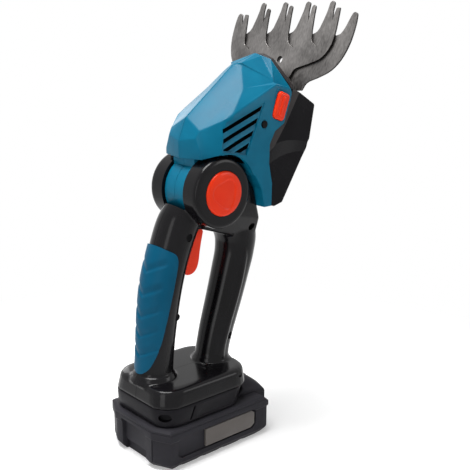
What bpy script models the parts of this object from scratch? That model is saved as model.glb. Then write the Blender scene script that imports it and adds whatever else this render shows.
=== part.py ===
"""Cordless garden shear on an upright D-handle, with a tilting head and a slide-on battery.

Metres, +Z up, +X forward (from the grip to the strut), +Y to the left.
The origin is the middle of the battery's flat underside, which the shear stands on.
"""
import math

import bmesh
import bpy
from mathutils import Matrix, Vector

# Clearances
rest_gap = 0.0003
slide_gap = 0.0003
split_gap = 0.0003

# Battery
cell_room_along = 0.00875
cell_room_across = 0.0050
corner_along = 0.0068
corner_across = 0.0145
board_headroom = 0.0018
tub_wall = 0.0022
tub_floor = 0.0022
under_chamfer = 0.0050
rear_wall = 0.0052
foot_inner = 0.0150
notch_height = 0.0085
notch_depth = 0.0024
panel_depth = 0.0012
lid_height = 0.0031
rail_half_width = 0.0220
rail_rear_inset = 0.00785
rail_neck_half_width = 0.0180
rail_base = 0.0029
rail_neck_height = 0.0041
rail_flange = 0.0036
rail_wall = 0.0020
hump_half_width = 0.0250
hump_top_length = 0.0080
hump_height = 0.0131
hump_end_inset = 0.00485
cell_radius = 0.0091
cell_length = 0.0650
cell_pitch = 0.0200
cell_count = 5
holder_thickness = 0.0040
holder_web = 0.0020
holder_end = 0.0018
cell_sides = 14
strap_thickness = 0.0005
strap_half_width = 0.0040
board_end_room = 0.01485
board_side_room = 0.0135
board_thickness = 0.0016
label_low = (-0.0175, 0.0095)
label_high = (0.0290, 0.0240)
label_depth = 0.0009
terminal_inset = 0.02985
terminal_length = 0.0100
terminal_pitch = 0.0100
terminal_thickness = 0.0008
latch_inset = 0.01085
latch_length = 0.0100
latch_half_width = 0.0110
latch_spring_height = 0.0034

# Dock, the foot of the handle
dock_overhang = 0.00215
dock_rear_lean = 0.0050
dock_rear_rim_lean = 0.0040
dock_front_inset = 0.04135
dock_front_lean = 0.0080
dock_front_rim_lean = 0.0010
dock_side_inset = 0.0005
dock_side_lean = 0.0020
dock_rim_lean = 0.0030
dock_corner_along = 0.0150
dock_corner_across = 0.0125
skirt_height = 0.0140
dock_height = 0.0135
dock_edge = 0.0030
shell_wall = 0.0030
skirt_wall = 0.0028
ceiling_gap = 0.0003

# Handle legs: centre line points (x, z) and the tube radius at each of them
grip_line = [(-0.0385, 0.0560, 0.0170), (-0.0372, 0.0720, 0.0150), (-0.0360, 0.0860, 0.0149),
             (-0.0330, 0.1100, 0.0153), (-0.0290, 0.1320, 0.0155), (-0.0230, 0.1520, 0.0155),
             (-0.0150, 0.1720, 0.0160), (-0.0040, 0.1880, 0.0150)]
strut_line = [(0.0150, 0.0560, 0.0150), (0.0190, 0.0700, 0.0132), (0.0235, 0.0860, 0.0133),
              (0.0300, 0.1070, 0.0138), (0.0372, 0.1310, 0.0143), (0.0400, 0.1480, 0.0150),
              (0.0385, 0.1640, 0.0148), (0.0240, 0.1820, 0.0125)]
web_low = (-0.0050, 0.1665)
web_high = (0.0350, 0.1800)
web_half_width = 0.0150
lobe_points = [(0.0190, 0.0245, 0.1765), (0.0300, 0.0235, 0.1765), (0.0400, 0.0200, 0.1765),
               (0.0480, 0.0130, 0.1745), (0.0515, 0.0070, 0.1660), (0.0500, 0.0115, 0.1630),
               (0.0290, 0.0130, 0.1630)]
handle_screw_places = [(-0.0155, 0.1662, 0.0150), (-0.0245, 0.1066, 0.0118),
                       (0.0440, 0.1660, 0.0140), (0.0270, 0.0800, 0.0110)]
overmould_profile = [(-0.0700, 0.1740), (-0.0300, 0.1595), (-0.0225, 0.1565),
                     (-0.0205, 0.1500), (-0.0275, 0.1270), (-0.0320, 0.1090),
                     (-0.0385, 0.0860), (-0.0470, 0.0700), (-0.0700, 0.0640)]
overmould_proud = 0.0006
overmould_depth = 0.0012

# Tilting pivot
pivot_x = 0.0070
pivot_z = 0.1977
cheek_radius = 0.0260
cheek_inner = 0.0125
cheek_outer = 0.0275
cheek_edge = 0.0025
neck_radius = 0.0240
neck_clearance = 0.0006
tilt_range = math.radians(60.0)
axle_radius = 0.0060
axle_wall = 0.0018
button_radius = 0.0166
button_proud = 0.0022
button_depth = 0.0075
button_ring = 0.0050
detent_radius = 0.0140
detent_thickness = 0.0028

# Trigger
trigger_half_width = 0.0065
trigger_profile = [(0.0132, 0.0005), (0.0118, -0.0060), (0.0102, -0.0140), (0.0098, -0.0260),
                   (0.0070, -0.0320), (0.0020, -0.0355), (-0.0025, -0.0355),
                   (-0.0080, -0.0320), (-0.0090, -0.0260), (-0.0080, -0.0060),
                   (-0.0050, 0.0030), (0.0020, 0.0055), (0.0090, 0.0040)]
trigger_room = [(-0.0080, -0.0360), (0.0020, -0.0370), (0.0140, 0.0000), (-0.0080, 0.0040),
                (-0.0135, -0.0140), (-0.0135, -0.0330)]
trigger_pin_x = -0.0080
trigger_pin_z = 0.1660
trigger_pin_radius = 0.0020
trigger_pin_half_length = 0.0102
trigger_hub_radius = 0.0048
switch_low = (-0.0335, 0.1330)
switch_high = (-0.0207, 0.1500)
switch_half_width = 0.0073
plunger_radius = 0.0022

# Head: blade plane tilt and its reference point, the middle of the finger tips
blade_tilt = math.radians(70.0)
tip_x = 0.1052
tip_z = 0.3344
head_wall = 0.0025
head_half_width = 0.0300
head_rear = -0.0130
stem_top = 0.2290
blade_thickness = 0.0016
finger_pitch = 0.02485
tooth_pitch = 0.0246
blade_pivot = -0.0785
blade_swing = math.radians(3.15)
crank_centre = -0.0985
crank_throw = 0.0024
crank_pin_radius = 0.0015
blade_root_half_width = 0.0235
blade_hole = -0.0475
blade_hole_radius = 0.0032
gear_module = 0.0008
gear_teeth = 42
pinion_teeth = 12
gear_thickness = 0.0060
plate_thickness = 0.0030
plate_half_width = 0.0253
plate_front = -0.0735
plate_rear = -0.1370
case_depth = 0.0120
case_wall = 0.0015
motor_radius = 0.0140
motor_length = 0.0310
motor_cap_height = 0.0040
shaft_radius = 0.0012
cover_half_width = 0.0280
cover_wall = 0.0024
head_ridge = [(-0.0126, 0.0, 0.2218), (-0.0128, 0.0, 0.2350), (-0.0067, 0.0, 0.2512),
              (0.0091, 0.0, 0.2647), (0.0252, 0.0, 0.2783), (0.0409, 0.0, 0.2890),
              (0.0618, 0.0, 0.2960)]
head_rim = (0.0727, 0.0280, 0.2700)
head_sides = [(-0.0089, 0.0205, 0.2224), (-0.0089, 0.0205, 0.2272), (-0.0102, 0.0150, 0.2377),
              (-0.0068, 0.0160, 0.2428), (0.0030, 0.0290, 0.2260), (0.0303, 0.0208, 0.2717),
              (0.0140, 0.0286, 0.2539), (0.0584, 0.0240, 0.2752), (0.0635, 0.0145, 0.2919),
              head_rim, (0.0500, head_half_width, 0.2260), (0.0680, head_half_width, 0.2500),
              (0.0080, head_half_width, 0.2380), (0.0560, 0.0285, 0.2738)]
head_tail = [(0.0040, 0.2300), (0.0040, 0.2250), (0.0216, 0.2180), (0.0357, 0.2080),
             (0.0420, 0.1980), (0.0451, 0.1829), (0.0600, 0.1832), (0.0650, 0.2156),
             (0.0680, 0.2400), (0.0500, 0.2450)]
head_screw = (0.0438, 0.0, 0.2453)
cover_profile = [(-0.0709, 0.0072), (-0.0709, -0.0041), (-0.0742, -0.0228),
                 (-0.1005, -0.0273), (-0.1167, -0.0230), (-0.1548, -0.0150),
                 (-0.1596, -0.0079), (-0.1601, -0.0022), (-0.1439, 0.0035), (-0.1307, 0.0119),
                 (-0.1168, 0.0167), (-0.1065, 0.0150), (-0.0985, 0.0082)]
vent_corners = [(0.0039, 0.2430), (0.0040, 0.2360), (0.0056, 0.2303), (0.0160, 0.2282)]
vent_slope = (0.94, 0.34)
vent_lengths = (0.0355, 0.0315, 0.0260, 0.0105)
vent_height = 0.0020
lip_thickness = 0.0018
release_u = -0.0869
release_n = 0.0161
release_length = 0.0220
release_height = 0.0115
release_proud = 0.0024
release_depth = 0.0080
pocket_wall = 0.0015
release_spring_height = 0.0040

# Sides of round pieces
round_sides = 32

# Screws
screw_radius = 0.0027
screw_head = 0.0018
screw_recess = 0.0030

# Worked out from the sizes above
cell_level = tub_floor + rest_gap + holder_web + cell_radius + rest_gap
holder_top = cell_level + cell_radius + rest_gap + holder_web
tub_height = holder_top + rest_gap + board_thickness + board_headroom
cell_row = (cell_count - 1) * cell_pitch + 2 * cell_radius
battery_length = cell_row + 2 * cell_room_along
battery_width = cell_length + 2 * cell_room_across
board_length = battery_length - 2 * board_end_room
board_width = battery_width - 2 * board_side_room
holder_spread = (board_width - holder_thickness) / 2
hump_end = battery_length / 2 - hump_end_inset
latch_x = battery_length / 2 - latch_inset
rail_rear = -battery_length / 2 + rail_rear_inset
terminal_x = -battery_length / 2 + terminal_inset
dock_rear_low = -battery_length / 2 - dock_overhang
dock_rear_seam = dock_rear_low + dock_rear_lean
dock_rear_rim = dock_rear_seam + dock_rear_rim_lean
dock_front_low = battery_length / 2 - dock_front_inset
dock_front_seam = dock_front_low + dock_front_lean
dock_front_rim = dock_front_seam + dock_front_rim_lean
dock_half_width_low = battery_width / 2 - dock_side_inset
dock_half_width_seam = dock_half_width_low - dock_side_lean
dock_half_width_rim = dock_half_width_seam - dock_rim_lean
lid_bottom = tub_height + rest_gap
shoulder = lid_bottom + lid_height
skirt_bottom = shoulder + rest_gap
skirt_top = skirt_bottom + skirt_height
dock_bottom = skirt_top + split_gap
dock_top = dock_bottom + dock_height
rail_top = shoulder + rail_base + rail_neck_height + rail_flange
contact_low = rail_top - 0.0052
front_slope = (dock_front_seam - dock_front_low) / skirt_height
pinion_u = crank_centre - gear_module * (gear_teeth + pinion_teeth) / 2
plate_top = -blade_thickness - rest_gap
plate_bottom = plate_top - plate_thickness
case_top = plate_bottom - rest_gap
gear_top = case_top - 0.0008
gear_bottom = gear_top - gear_thickness


def clear_scene():
    """Start from an empty scene."""
    for old in list(bpy.data.objects):
        bpy.data.objects.remove(old, do_unlink=True)


def new_collection(name):
    """A collection under the scene's own."""
    collection = bpy.data.collections.new(name)
    bpy.context.scene.collection.children.link(collection)
    return collection


clear_scene()
shear = new_collection("cordless_shear")
cutters = new_collection("cutters")


def finish_material(name, colour, roughness, metallic=0.0):
    """A plain surface finish."""
    made = bpy.data.materials.new(name)
    made.use_nodes = True
    shader = made.node_tree.nodes["Principled BSDF"]
    shader.inputs["Base Color"].default_value = (*colour, 1.0)
    shader.inputs["Roughness"].default_value = roughness
    shader.inputs["Metallic"].default_value = metallic
    return made


gloss_black = finish_material("gloss_black", (0.012, 0.011, 0.013), 0.22)
matt_black = finish_material("matt_black", (0.028, 0.027, 0.031), 0.6)
blue_shell = finish_material("blue_shell", (0.012, 0.17, 0.32), 0.35)
blue_grip = finish_material("blue_grip", (0.01, 0.13, 0.24), 0.55)
orange_button = finish_material("orange_button", (0.87, 0.045, 0.012), 0.35)
blade_steel = finish_material("blade_steel", (0.18, 0.17, 0.17), 0.35, 1.0)
plain_steel = finish_material("plain_steel", (0.45, 0.45, 0.45), 0.35, 1.0)
dark_steel = finish_material("dark_steel", (0.05, 0.05, 0.055), 0.4, 1.0)
brass = finish_material("brass", (0.6, 0.42, 0.15), 0.35, 1.0)
cell_wrap = finish_material("cell_wrap", (0.05, 0.2, 0.3), 0.4)
board_green = finish_material("board_green", (0.01, 0.09, 0.03), 0.5)
inner_grey = finish_material("inner_grey", (0.12, 0.12, 0.13), 0.6)
label_grey = finish_material("label_grey", (0.1, 0.09, 0.085), 0.45)


def add_object(name, mesh, collection, material=None):
    """Link a mesh as a named object."""
    made = bpy.data.objects.new(name, mesh)
    collection.objects.link(made)
    if material is not None:
        mesh.materials.clear()
        mesh.materials.append(material)
    return made


def guide(name, mesh):
    """A cutter or a block that is joined to another shape."""
    made = add_object(name, mesh, cutters)
    made.hide_render = True
    made.display_type = "WIRE"
    return made


def mesh_of(bm, name):
    """Close a bmesh into a mesh with its faces outwards."""
    bmesh.ops.remove_doubles(bm, verts=bm.verts, dist=1e-6)
    bmesh.ops.recalc_face_normals(bm, faces=bm.faces)
    mesh = bpy.data.meshes.new(name)
    bm.to_mesh(mesh)
    bm.free()
    return mesh


def evaluated_mesh(source, name):
    """The mesh of an object with its curve or modifiers worked out; the object is removed."""
    bpy.context.view_layer.update()
    graph = bpy.context.evaluated_depsgraph_get()
    mesh = bpy.data.meshes.new_from_object(source.evaluated_get(graph))
    mesh.transform(source.matrix_world)
    mesh.name = name
    bpy.data.objects.remove(source, do_unlink=True)
    bm = bmesh.new()
    bm.from_mesh(mesh)
    bmesh.ops.remove_doubles(bm, verts=bm.verts, dist=1e-6)
    bm.to_mesh(mesh)
    bm.free()
    return mesh


def box(name, low, high):
    """A block between two corners."""
    bm = bmesh.new()
    bmesh.ops.create_cube(bm, size=1.0)
    size = Vector(high) - Vector(low)
    middle = (Vector(high) + Vector(low)) / 2
    bmesh.ops.scale(bm, vec=size, verts=bm.verts)
    bmesh.ops.translate(bm, vec=middle, verts=bm.verts)
    return mesh_of(bm, name)


def axis_matrix(axis):
    """Turn local Z to a world axis."""
    turns = {"X": Matrix(((0, 0, 1), (1, 0, 0), (0, 1, 0))),
             "Y": Matrix(((1, 0, 0), (0, 0, 1), (0, -1, 0))),
             "Z": Matrix.Identity(3)}
    return turns[axis].to_4x4()


def cylinder(name, radius, start, end, centre, axis, sides=24):
    """A round bar along a world axis, from start to end, with its middle line at centre."""
    bm = bmesh.new()
    bmesh.ops.create_cone(bm, cap_ends=True, segments=sides, radius1=radius, radius2=radius,
                          depth=end - start)
    place = Vector(centre)
    place["XYZ".index(axis)] = (start + end) / 2
    bmesh.ops.transform(bm, matrix=Matrix.Translation(place) @ axis_matrix(axis), verts=bm.verts)
    return mesh_of(bm, name)


def prism(name, outline, low, high, matrix=Matrix.Identity(4)):
    """A flat outline, filled and given its thickness from low to high along local Z."""
    curve = bpy.data.curves.new(name, "CURVE")
    curve.dimensions = "2D"
    curve.fill_mode = "BOTH"
    curve.extrude = (high - low) / 2
    loops = outline if isinstance(outline[0][0], (tuple, list)) else [outline]
    for loop in loops:
        spline = curve.splines.new("POLY")
        spline.points.add(len(loop) - 1)
        for point, (across, along) in zip(spline.points, loop):
            point.co = (across, along, 0.0, 1.0)
        spline.use_cyclic_u = True
    made = bpy.data.objects.new(name, curve)
    cutters.objects.link(made)
    made.matrix_world = matrix @ Matrix.Translation((0, 0, (low + high) / 2))
    mesh = evaluated_mesh(made, name)
    bm = bmesh.new()
    bm.from_mesh(mesh)
    bpy.data.meshes.remove(mesh)
    return mesh_of(bm, name)


side_view = Matrix(((1, 0, 0, 0), (0, 0, -1, 0), (0, 1, 0, 0), (0, 0, 0, 1)))


def side_prism(name, outline, low_y, high_y):
    """An outline in X and Z, given its width from low_y to high_y."""
    return prism(name, outline, -high_y, -low_y, side_view)


def turned(name, profile, centre, direction, sides=32, closed=True):
    """A profile of (radius, height), outer side top to bottom, turned about an axis along Y."""
    mesh = bpy.data.meshes.new(name)
    points = [(radius, 0.0, height) for radius, height in profile]
    count = len(points)
    edges = [(step, step + 1) for step in range(count - 1)]
    if closed:
        edges.append((count - 1, 0))
    mesh.from_pydata(points, edges, [])
    made = bpy.data.objects.new(name, mesh)
    cutters.objects.link(made)
    screw = made.modifiers.new("turn", "SCREW")
    screw.steps = sides
    screw.render_steps = sides
    screw.use_merge_vertices = True
    screw.merge_threshold = 0.00001
    to_side = Matrix(((1, 0, 0, 0), (0, 0, 1, 0), (0, -1, 0, 0), (0, 0, 0, 1)))
    if direction < 0:
        to_side = Matrix(((1, 0, 0, 0), (0, 0, -1, 0), (0, 1, 0, 0), (0, 0, 0, 1)))
    made.matrix_world = Matrix.Translation(centre) @ to_side
    turned_mesh = evaluated_mesh(made, name)
    bm = bmesh.new()
    bm.from_mesh(turned_mesh)
    bpy.data.meshes.remove(turned_mesh)
    return mesh_of(bm, name)


def tube(name, line, change, sides_step=4, smooth=2):
    """A smooth tube through (x, z, radius) points, its radius changed by a set amount."""
    curve = bpy.data.curves.new(name, "CURVE")
    curve.dimensions = "3D"
    curve.bevel_depth = 1.0
    curve.bevel_resolution = sides_step
    curve.use_fill_caps = True
    curve.resolution_u = smooth
    spline = curve.splines.new("BEZIER")
    spline.bezier_points.add(len(line) - 1)
    for point, (along, height, radius) in zip(spline.bezier_points, line):
        point.co = (along, 0.0, height)
        point.radius = radius + change
        point.handle_left_type = "AUTO"
        point.handle_right_type = "AUTO"
    made = bpy.data.objects.new(name, curve)
    cutters.objects.link(made)
    mesh = evaluated_mesh(made, name)
    bm = bmesh.new()
    bm.from_mesh(mesh)
    bpy.data.meshes.remove(mesh)
    return mesh_of(bm, name)


def coil(name, radius, wire, start, end, centre, axis, turns, points_a_turn=8):
    """A compression spring of square-section wire about a world axis."""
    curve = bpy.data.curves.new(name, "CURVE")
    curve.dimensions = "3D"
    curve.bevel_depth = wire
    curve.bevel_resolution = 0
    curve.use_fill_caps = True
    spline = curve.splines.new("POLY")
    count = int(turns * points_a_turn) + 1
    spline.points.add(count - 1)
    for step, point in enumerate(spline.points):
        angle = 2 * math.pi * step / points_a_turn
        height = start + wire + (end - start - 2 * wire) * step / (count - 1)
        point.co = (radius * math.cos(angle), radius * math.sin(angle), height, 1.0)
    made = bpy.data.objects.new(name, curve)
    cutters.objects.link(made)
    turn = Matrix(((1, 0, 0, 0), (0, 0, 1, 0), (0, -1, 0, 0), (0, 0, 0, 1)))
    made.matrix_world = Matrix.Translation(centre) @ (turn if axis == "Y" else Matrix.Identity(4))
    mesh = evaluated_mesh(made, name)
    bm = bmesh.new()
    bm.from_mesh(mesh)
    bpy.data.meshes.remove(mesh)
    return mesh_of(bm, name)


def loft(name, rings):
    """A closed skin over rings of points with the same count."""
    bm = bmesh.new()
    rows = [[bm.verts.new(point) for point in ring] for ring in rings]
    count = len(rows[0])
    for lower, upper in zip(rows, rows[1:]):
        for step in range(count):
            after = (step + 1) % count
            bm.faces.new((lower[step], lower[after], upper[after], upper[step]))
    bm.faces.new(list(reversed(rows[0])))
    bm.faces.new(rows[-1])
    return mesh_of(bm, name)


def hull(name, points):
    """The convex skin around points."""
    bm = bmesh.new()
    for point in points:
        bm.verts.new(point)
    made = bmesh.ops.convex_hull(bm, input=bm.verts)
    loose = [item for item in made["geom_interior"] if isinstance(item, bmesh.types.BMVert)]
    bmesh.ops.delete(bm, geom=loose, context="VERTS")
    return mesh_of(bm, name)


def combine(base, other, operation, solver="EXACT"):
    """Boolean two meshes and return the result."""
    body = guide("base", base)
    tool = guide("tool", other)
    modifier = body.modifiers.new("combine", "BOOLEAN")
    modifier.operation = operation
    modifier.solver = solver
    modifier.object = tool
    bpy.context.view_layer.update()
    graph = bpy.context.evaluated_depsgraph_get()
    mesh = bpy.data.meshes.new_from_object(body.evaluated_get(graph))
    bpy.data.objects.remove(body, do_unlink=True)
    bpy.data.objects.remove(tool, do_unlink=True)
    return mesh


def cut(base, *tools, solver="EXACT"):
    """Take each tool away from the base."""
    for tool in tools:
        base = combine(base, tool, "DIFFERENCE", solver)
    return base


def join(base, *others, solver="EXACT"):
    """Add each shape to the base."""
    for other in others:
        base = combine(base, other, "UNION", solver)
    return base


# The handle's many crossing curved walls stay closed only with this solver
closed_solver = "MANIFOLD"


def rounded(mesh, width, segments=1, angle=math.radians(40)):
    """Break the sharp edges of a mesh."""
    made = guide("rounding", mesh)
    modifier = made.modifiers.new("edges", "BEVEL")
    modifier.width = width
    modifier.segments = segments
    modifier.limit_method = "ANGLE"
    modifier.angle_limit = angle
    return evaluated_mesh(made, mesh.name)


def inset(outline, distance):
    """Move every side of an outline inwards by a distance."""
    area = sum(a[0] * b[1] - b[0] * a[1] for a, b in zip(outline, outline[1:] + outline[:1]))
    turn = 1.0 if area > 0 else -1.0
    count = len(outline)
    moved = []
    for step in range(count):
        before, here = Vector(outline[step - 1]), Vector(outline[step])
        after = Vector(outline[(step + 1) % count])
        first, second = (here - before).normalized(), (after - here).normalized()
        first_in = Vector((-first.y, first.x)) * turn
        second_in = Vector((-second.y, second.x)) * turn
        lean = (first_in + second_in) / (1.0 + first_in.dot(second_in))
        moved.append(tuple(here + lean * distance))
    return moved


def on_axis(mesh, origin):
    """Set a piece's origin on its joint's axis."""
    mesh.transform(Matrix.Translation(-Vector(origin)))
    return origin


def moving(name, mesh, material, origin):
    """A piece whose origin lies on its joint's axis."""
    place = on_axis(mesh, origin)
    made = add_object(name, mesh, shear, material)
    made.location = place
    return made


def shade(made, angle=math.radians(35)):
    """Shade round pieces smooth."""
    made.data.shade_smooth()
    made.data.set_sharp_from_angle(angle=angle)


def both_sides(point_list):
    """Points and their mirror images across the middle plane."""
    return [(x, side * y, z) for x, y, z in point_list for side in (1, -1)]


head_frame = Matrix(((0, math.cos(blade_tilt), -math.sin(blade_tilt), tip_x),
                     (-1, 0, 0, 0),
                     (0, math.sin(blade_tilt), math.cos(blade_tilt), tip_z),
                     (0, 0, 0, 1)))


def head_point(right, along, up):
    """A point given across, along and above the blade plane."""
    return head_frame @ Vector((right, along, up))


def head_box(name, low, high):
    """A block in the blade's frame: across to the right, along the blade, up from it."""
    mesh = box(name, low, high)
    mesh.transform(head_frame)
    return mesh


def head_cylinder(name, radius, low, high, along, right=0.0, sides=24):
    """A round bar square to the blade plane."""
    mesh = cylinder(name, radius, low, high, (right, along, 0), "Z", sides)
    mesh.transform(head_frame)
    return mesh


def head_side_prism(name, outline, half_width):
    """An outline of (along, up) points, given its width across the head."""
    points = []
    for along, up in outline:
        place = head_point(0.0, along, up)
        points.append((place.x, place.z))
    return side_prism(name, points, -half_width, half_width)


def footprint(rear, front, half_width, along, across):
    """An eight-sided outline with cut corners."""
    return [(rear + along, -half_width), (front - along, -half_width),
            (front, -half_width + across), (front, half_width - across),
            (front - along, half_width), (rear + along, half_width),
            (rear, half_width - across), (rear, -half_width + across)]


def ring_at(outline, height):
    """An outline lifted to a height."""
    return [(x, y, height) for x, y in outline]


# Battery


def battery_outline():
    """The battery seen from above."""
    return footprint(-battery_length / 2, battery_length / 2, battery_width / 2,
                     corner_along, corner_across)


def battery_case_lower():
    """The tub: cut corners, chamfered underside, two feet and a sunk panel at the rear end."""
    outline = battery_outline()
    low_outline = footprint(-battery_length / 2, battery_length / 2,
                            battery_width / 2 - under_chamfer, corner_along,
                            corner_across - under_chamfer)
    tub = loft("tub", [ring_at(low_outline, 0.0), ring_at(outline, under_chamfer),
                       ring_at(outline, tub_height)])
    hollow_outline = inset(outline, tub_wall)
    hollow_rear = -battery_length / 2 + rear_wall
    hollow_outline = [(max(x, hollow_rear), y) for x, y in hollow_outline]
    low_hollow = [(x, math.copysign(min(abs(y), battery_width / 2 - under_chamfer - tub_wall), y))
                  for x, y in hollow_outline]
    hollow = loft("hollow", [ring_at(low_hollow, tub_floor),
                             ring_at(hollow_outline, under_chamfer + tub_wall),
                             ring_at(hollow_outline, tub_height + rest_gap)])
    rear = -battery_length / 2
    notch = box("notch", (rear - rest_gap, -foot_inner, -rest_gap),
                (rear + notch_depth, foot_inner, notch_height))
    panel = box("panel", (rear - rest_gap, -foot_inner, notch_height - rest_gap),
                (rear + panel_depth, foot_inner, tub_height - tub_wall))
    tub = cut(tub, hollow, notch, panel)
    side = -battery_width / 2
    recess = box("recess", (label_low[0] - rest_gap, side - rest_gap, label_low[1] - rest_gap),
                 (label_high[0] + rest_gap, side + label_depth, label_high[1] + rest_gap))
    tub = cut(tub, recess)
    for spot in battery_screw_spots():
        tub = cut(tub, cylinder("well", screw_radius + rest_gap, -rest_gap, screw_head + rest_gap,
                                spot, "Z", 12))
    return add_object("battery_case_lower", tub, shear, matt_black)


def battery_screw_spots():
    """The four case screws, near the corners of the underside."""
    along = battery_length / 2 - corner_along - 0.0020
    across = battery_width / 2 - corner_across - 0.0030
    return [(x, y, 0.0) for x in (-along + rear_wall, along) for y in (-across, across)]


def battery_screws():
    """Pan heads in their wells."""
    for count, spot in enumerate(battery_screw_spots(), 1):
        name = f"battery_screw_{count}"
        add_object(name, cylinder(name, screw_radius, rest_gap, screw_head, spot, "Z", 12),
                   shear, dark_steel)


def rail_slots(margin):
    """The slots that the tool's contact blades run in, open to the rear."""
    slots = []
    for place in (-1, 0, 1):
        middle = place * terminal_pitch
        half = terminal_thickness / 2 + margin
        slots.append(box("slot", (rail_rear - 0.001, middle - half, contact_low - rest_gap),
                         (terminal_x + terminal_length / 2 + margin, middle + half,
                          rail_top + rest_gap)))
    return slots


def hump_outline():
    """The latch end's hump, seen from the side; its rear face follows the dock's front."""
    rear_low = dock_front_low + 0.0017
    rear_high = rear_low + front_slope * hump_height
    flat_end = rear_high + hump_top_length
    return [(rear_low, shoulder - rest_gap), (hump_end, shoulder - rest_gap),
            (hump_end - 0.0010, shoulder + 0.2 * hump_height),
            (hump_end - 0.0090, shoulder + 0.7 * hump_height),
            (flat_end, shoulder + hump_height), (rear_high, shoulder + hump_height)]


def latch_pocket_bottom():
    """The level that the latch spring stands on."""
    return lid_bottom + 0.0010


def battery_case_upper():
    """The lid with its slide rail and the latch end's hump."""
    outline = battery_outline()
    lid = loft("lid", [ring_at(outline, lid_bottom), ring_at(outline, shoulder - 0.0012),
                       ring_at(inset(outline, 0.0012), shoulder)])
    rail_front = dock_front_low + 0.0040
    block = box("rail", (rail_rear, -rail_half_width, shoulder - rest_gap),
                (rail_front, rail_half_width, rail_top))
    hump = rounded(side_prism("hump", hump_outline(), -hump_half_width, hump_half_width), 0.0015)
    lid = join(lid, block, hump)
    neck_low = shoulder + rail_base
    for side in (-1, 1):
        near = side * rail_neck_half_width
        far = side * (rail_half_width + rest_gap)
        lid = cut(lid, box("groove", (rail_rear - rest_gap, min(near, far), neck_low),
                           (dock_front_low, max(near, far), neck_low + rail_neck_height)))
    inside = rail_neck_half_width - rail_wall
    lid = cut(lid, box("rail_hollow", (rail_rear + rail_wall, -inside, lid_bottom - rest_gap),
                       (rail_front - rail_wall, inside, rail_top - rail_wall)))
    lid = cut(lid, *rail_slots(0.0007))
    pocket = box("pocket", (latch_x - latch_length / 2 - slide_gap,
                            -latch_half_width - slide_gap, latch_pocket_bottom()),
                 (latch_x + latch_length / 2 + slide_gap, latch_half_width + slide_gap,
                  shoulder + 2 * hump_height))
    lid = cut(lid, pocket)
    return add_object("battery_case_upper", lid, shear, matt_black)


def cell_places():
    """Where the cells lie along the battery."""
    middle = (cell_count - 1) / 2
    return [(step - middle) * cell_pitch for step in range(cell_count)]


def battery_cells():
    """Round cells side by side, lying across the battery."""
    for count, x in enumerate(cell_places(), 1):
        name = f"battery_cell_{count}"
        made = add_object(name, cylinder(name, cell_radius, -cell_length / 2, cell_length / 2,
                                         (x, 0, cell_level), "Y", cell_sides),
                          shear, cell_wrap)
        shade(made)


def cell_holder():
    """Two walls with a round hole for each cell, joined by a bar at each end."""
    half_length = (cell_count - 1) / 2 * cell_pitch + cell_radius + holder_end
    half_width = holder_spread + holder_thickness / 2
    inner_width = holder_spread - holder_thickness / 2
    floor = tub_floor + rest_gap
    holder = box("holder", (-half_length, -half_width, floor),
                 (half_length, half_width, holder_top))
    window = half_length - holder_end / 2
    holder = cut(holder, box("window", (-window, -inner_width, floor - 0.001),
                             (window, inner_width, holder_top + 0.001)))
    for x in cell_places():
        holder = cut(holder, cylinder("hole", cell_radius + rest_gap, -half_width - 0.001,
                                      half_width + 0.001, (x, 0, cell_level), "Y", cell_sides))
    return add_object("cell_holder", holder, shear, inner_grey)


def cell_straps():
    """A strip of nickel straps at each end of the cells."""
    places = cell_places()
    for name, side in (("cell_strap_right", -1), ("cell_strap_left", 1)):
        near, far = sorted((side * (cell_length / 2 + rest_gap),
                            side * (cell_length / 2 + rest_gap + strap_thickness)))
        strap = box(name, (places[0] - strap_half_width, near, cell_level - strap_half_width),
                    (places[-1] + strap_half_width, far, cell_level + strap_half_width))
        add_object(name, strap, shear, plain_steel)


def battery_board():
    """The circuit board on top of the cell holder."""
    bottom = holder_top + rest_gap
    board = box("battery_board", (-board_length / 2, -board_width / 2, bottom),
                (board_length / 2, board_width / 2, bottom + board_thickness))
    return add_object("battery_board", board, shear, board_green)


def battery_terminals():
    """Spring clips on a bar that lies on the board, one pair for each contact blade."""
    bottom = holder_top + board_thickness + 2 * rest_gap
    half_bar = terminal_pitch + 0.0040
    clips = box("bar", (terminal_x - terminal_length / 2 - 0.001, -half_bar, bottom),
                (terminal_x + terminal_length / 2 + 0.001, half_bar, bottom + 0.0030))
    inner = terminal_thickness / 2 + rest_gap
    for place in (-1, 0, 1):
        for side in (-1, 1):
            near = place * terminal_pitch + side * inner
            far = near + side * terminal_thickness
            clip = box("clip", (terminal_x - terminal_length / 2, min(near, far),
                                bottom + 0.0020),
                       (terminal_x + terminal_length / 2, max(near, far),
                        rail_top - rail_wall - rest_gap))
            clips = join(clips, clip)
    return add_object("battery_terminals", clips, shear, brass)


def battery_label():
    """The bare plate on the battery's side."""
    side = -battery_width / 2
    corner = 0.0030
    low, high = label_low, label_high
    outline = [low, (high[0] - corner, low[1]), (high[0], low[1] + corner),
               (high[0], high[1] - corner), (high[0] - corner, high[1]), (low[0], high[1])]
    plate = side_prism("battery_label", outline, side - 0.0001, side + label_depth - rest_gap)
    return add_object("battery_label", plate, shear, label_grey)


def battery_latch():
    """The release key in the hump; it is pressed down."""
    bottom = latch_pocket_bottom() + latch_spring_height + 2 * rest_gap
    rear = latch_x - latch_length / 2
    front = latch_x + latch_length / 2
    outline = [(rear, bottom), (front, bottom), (front, shoulder + 0.45 * hump_height),
               (rear, shoulder + hump_height)]
    key = rounded(side_prism("latch", outline, -latch_half_width, latch_half_width), 0.0006)
    return moving("battery_latch", key, inner_grey, (latch_x, 0.0, bottom))


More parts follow.
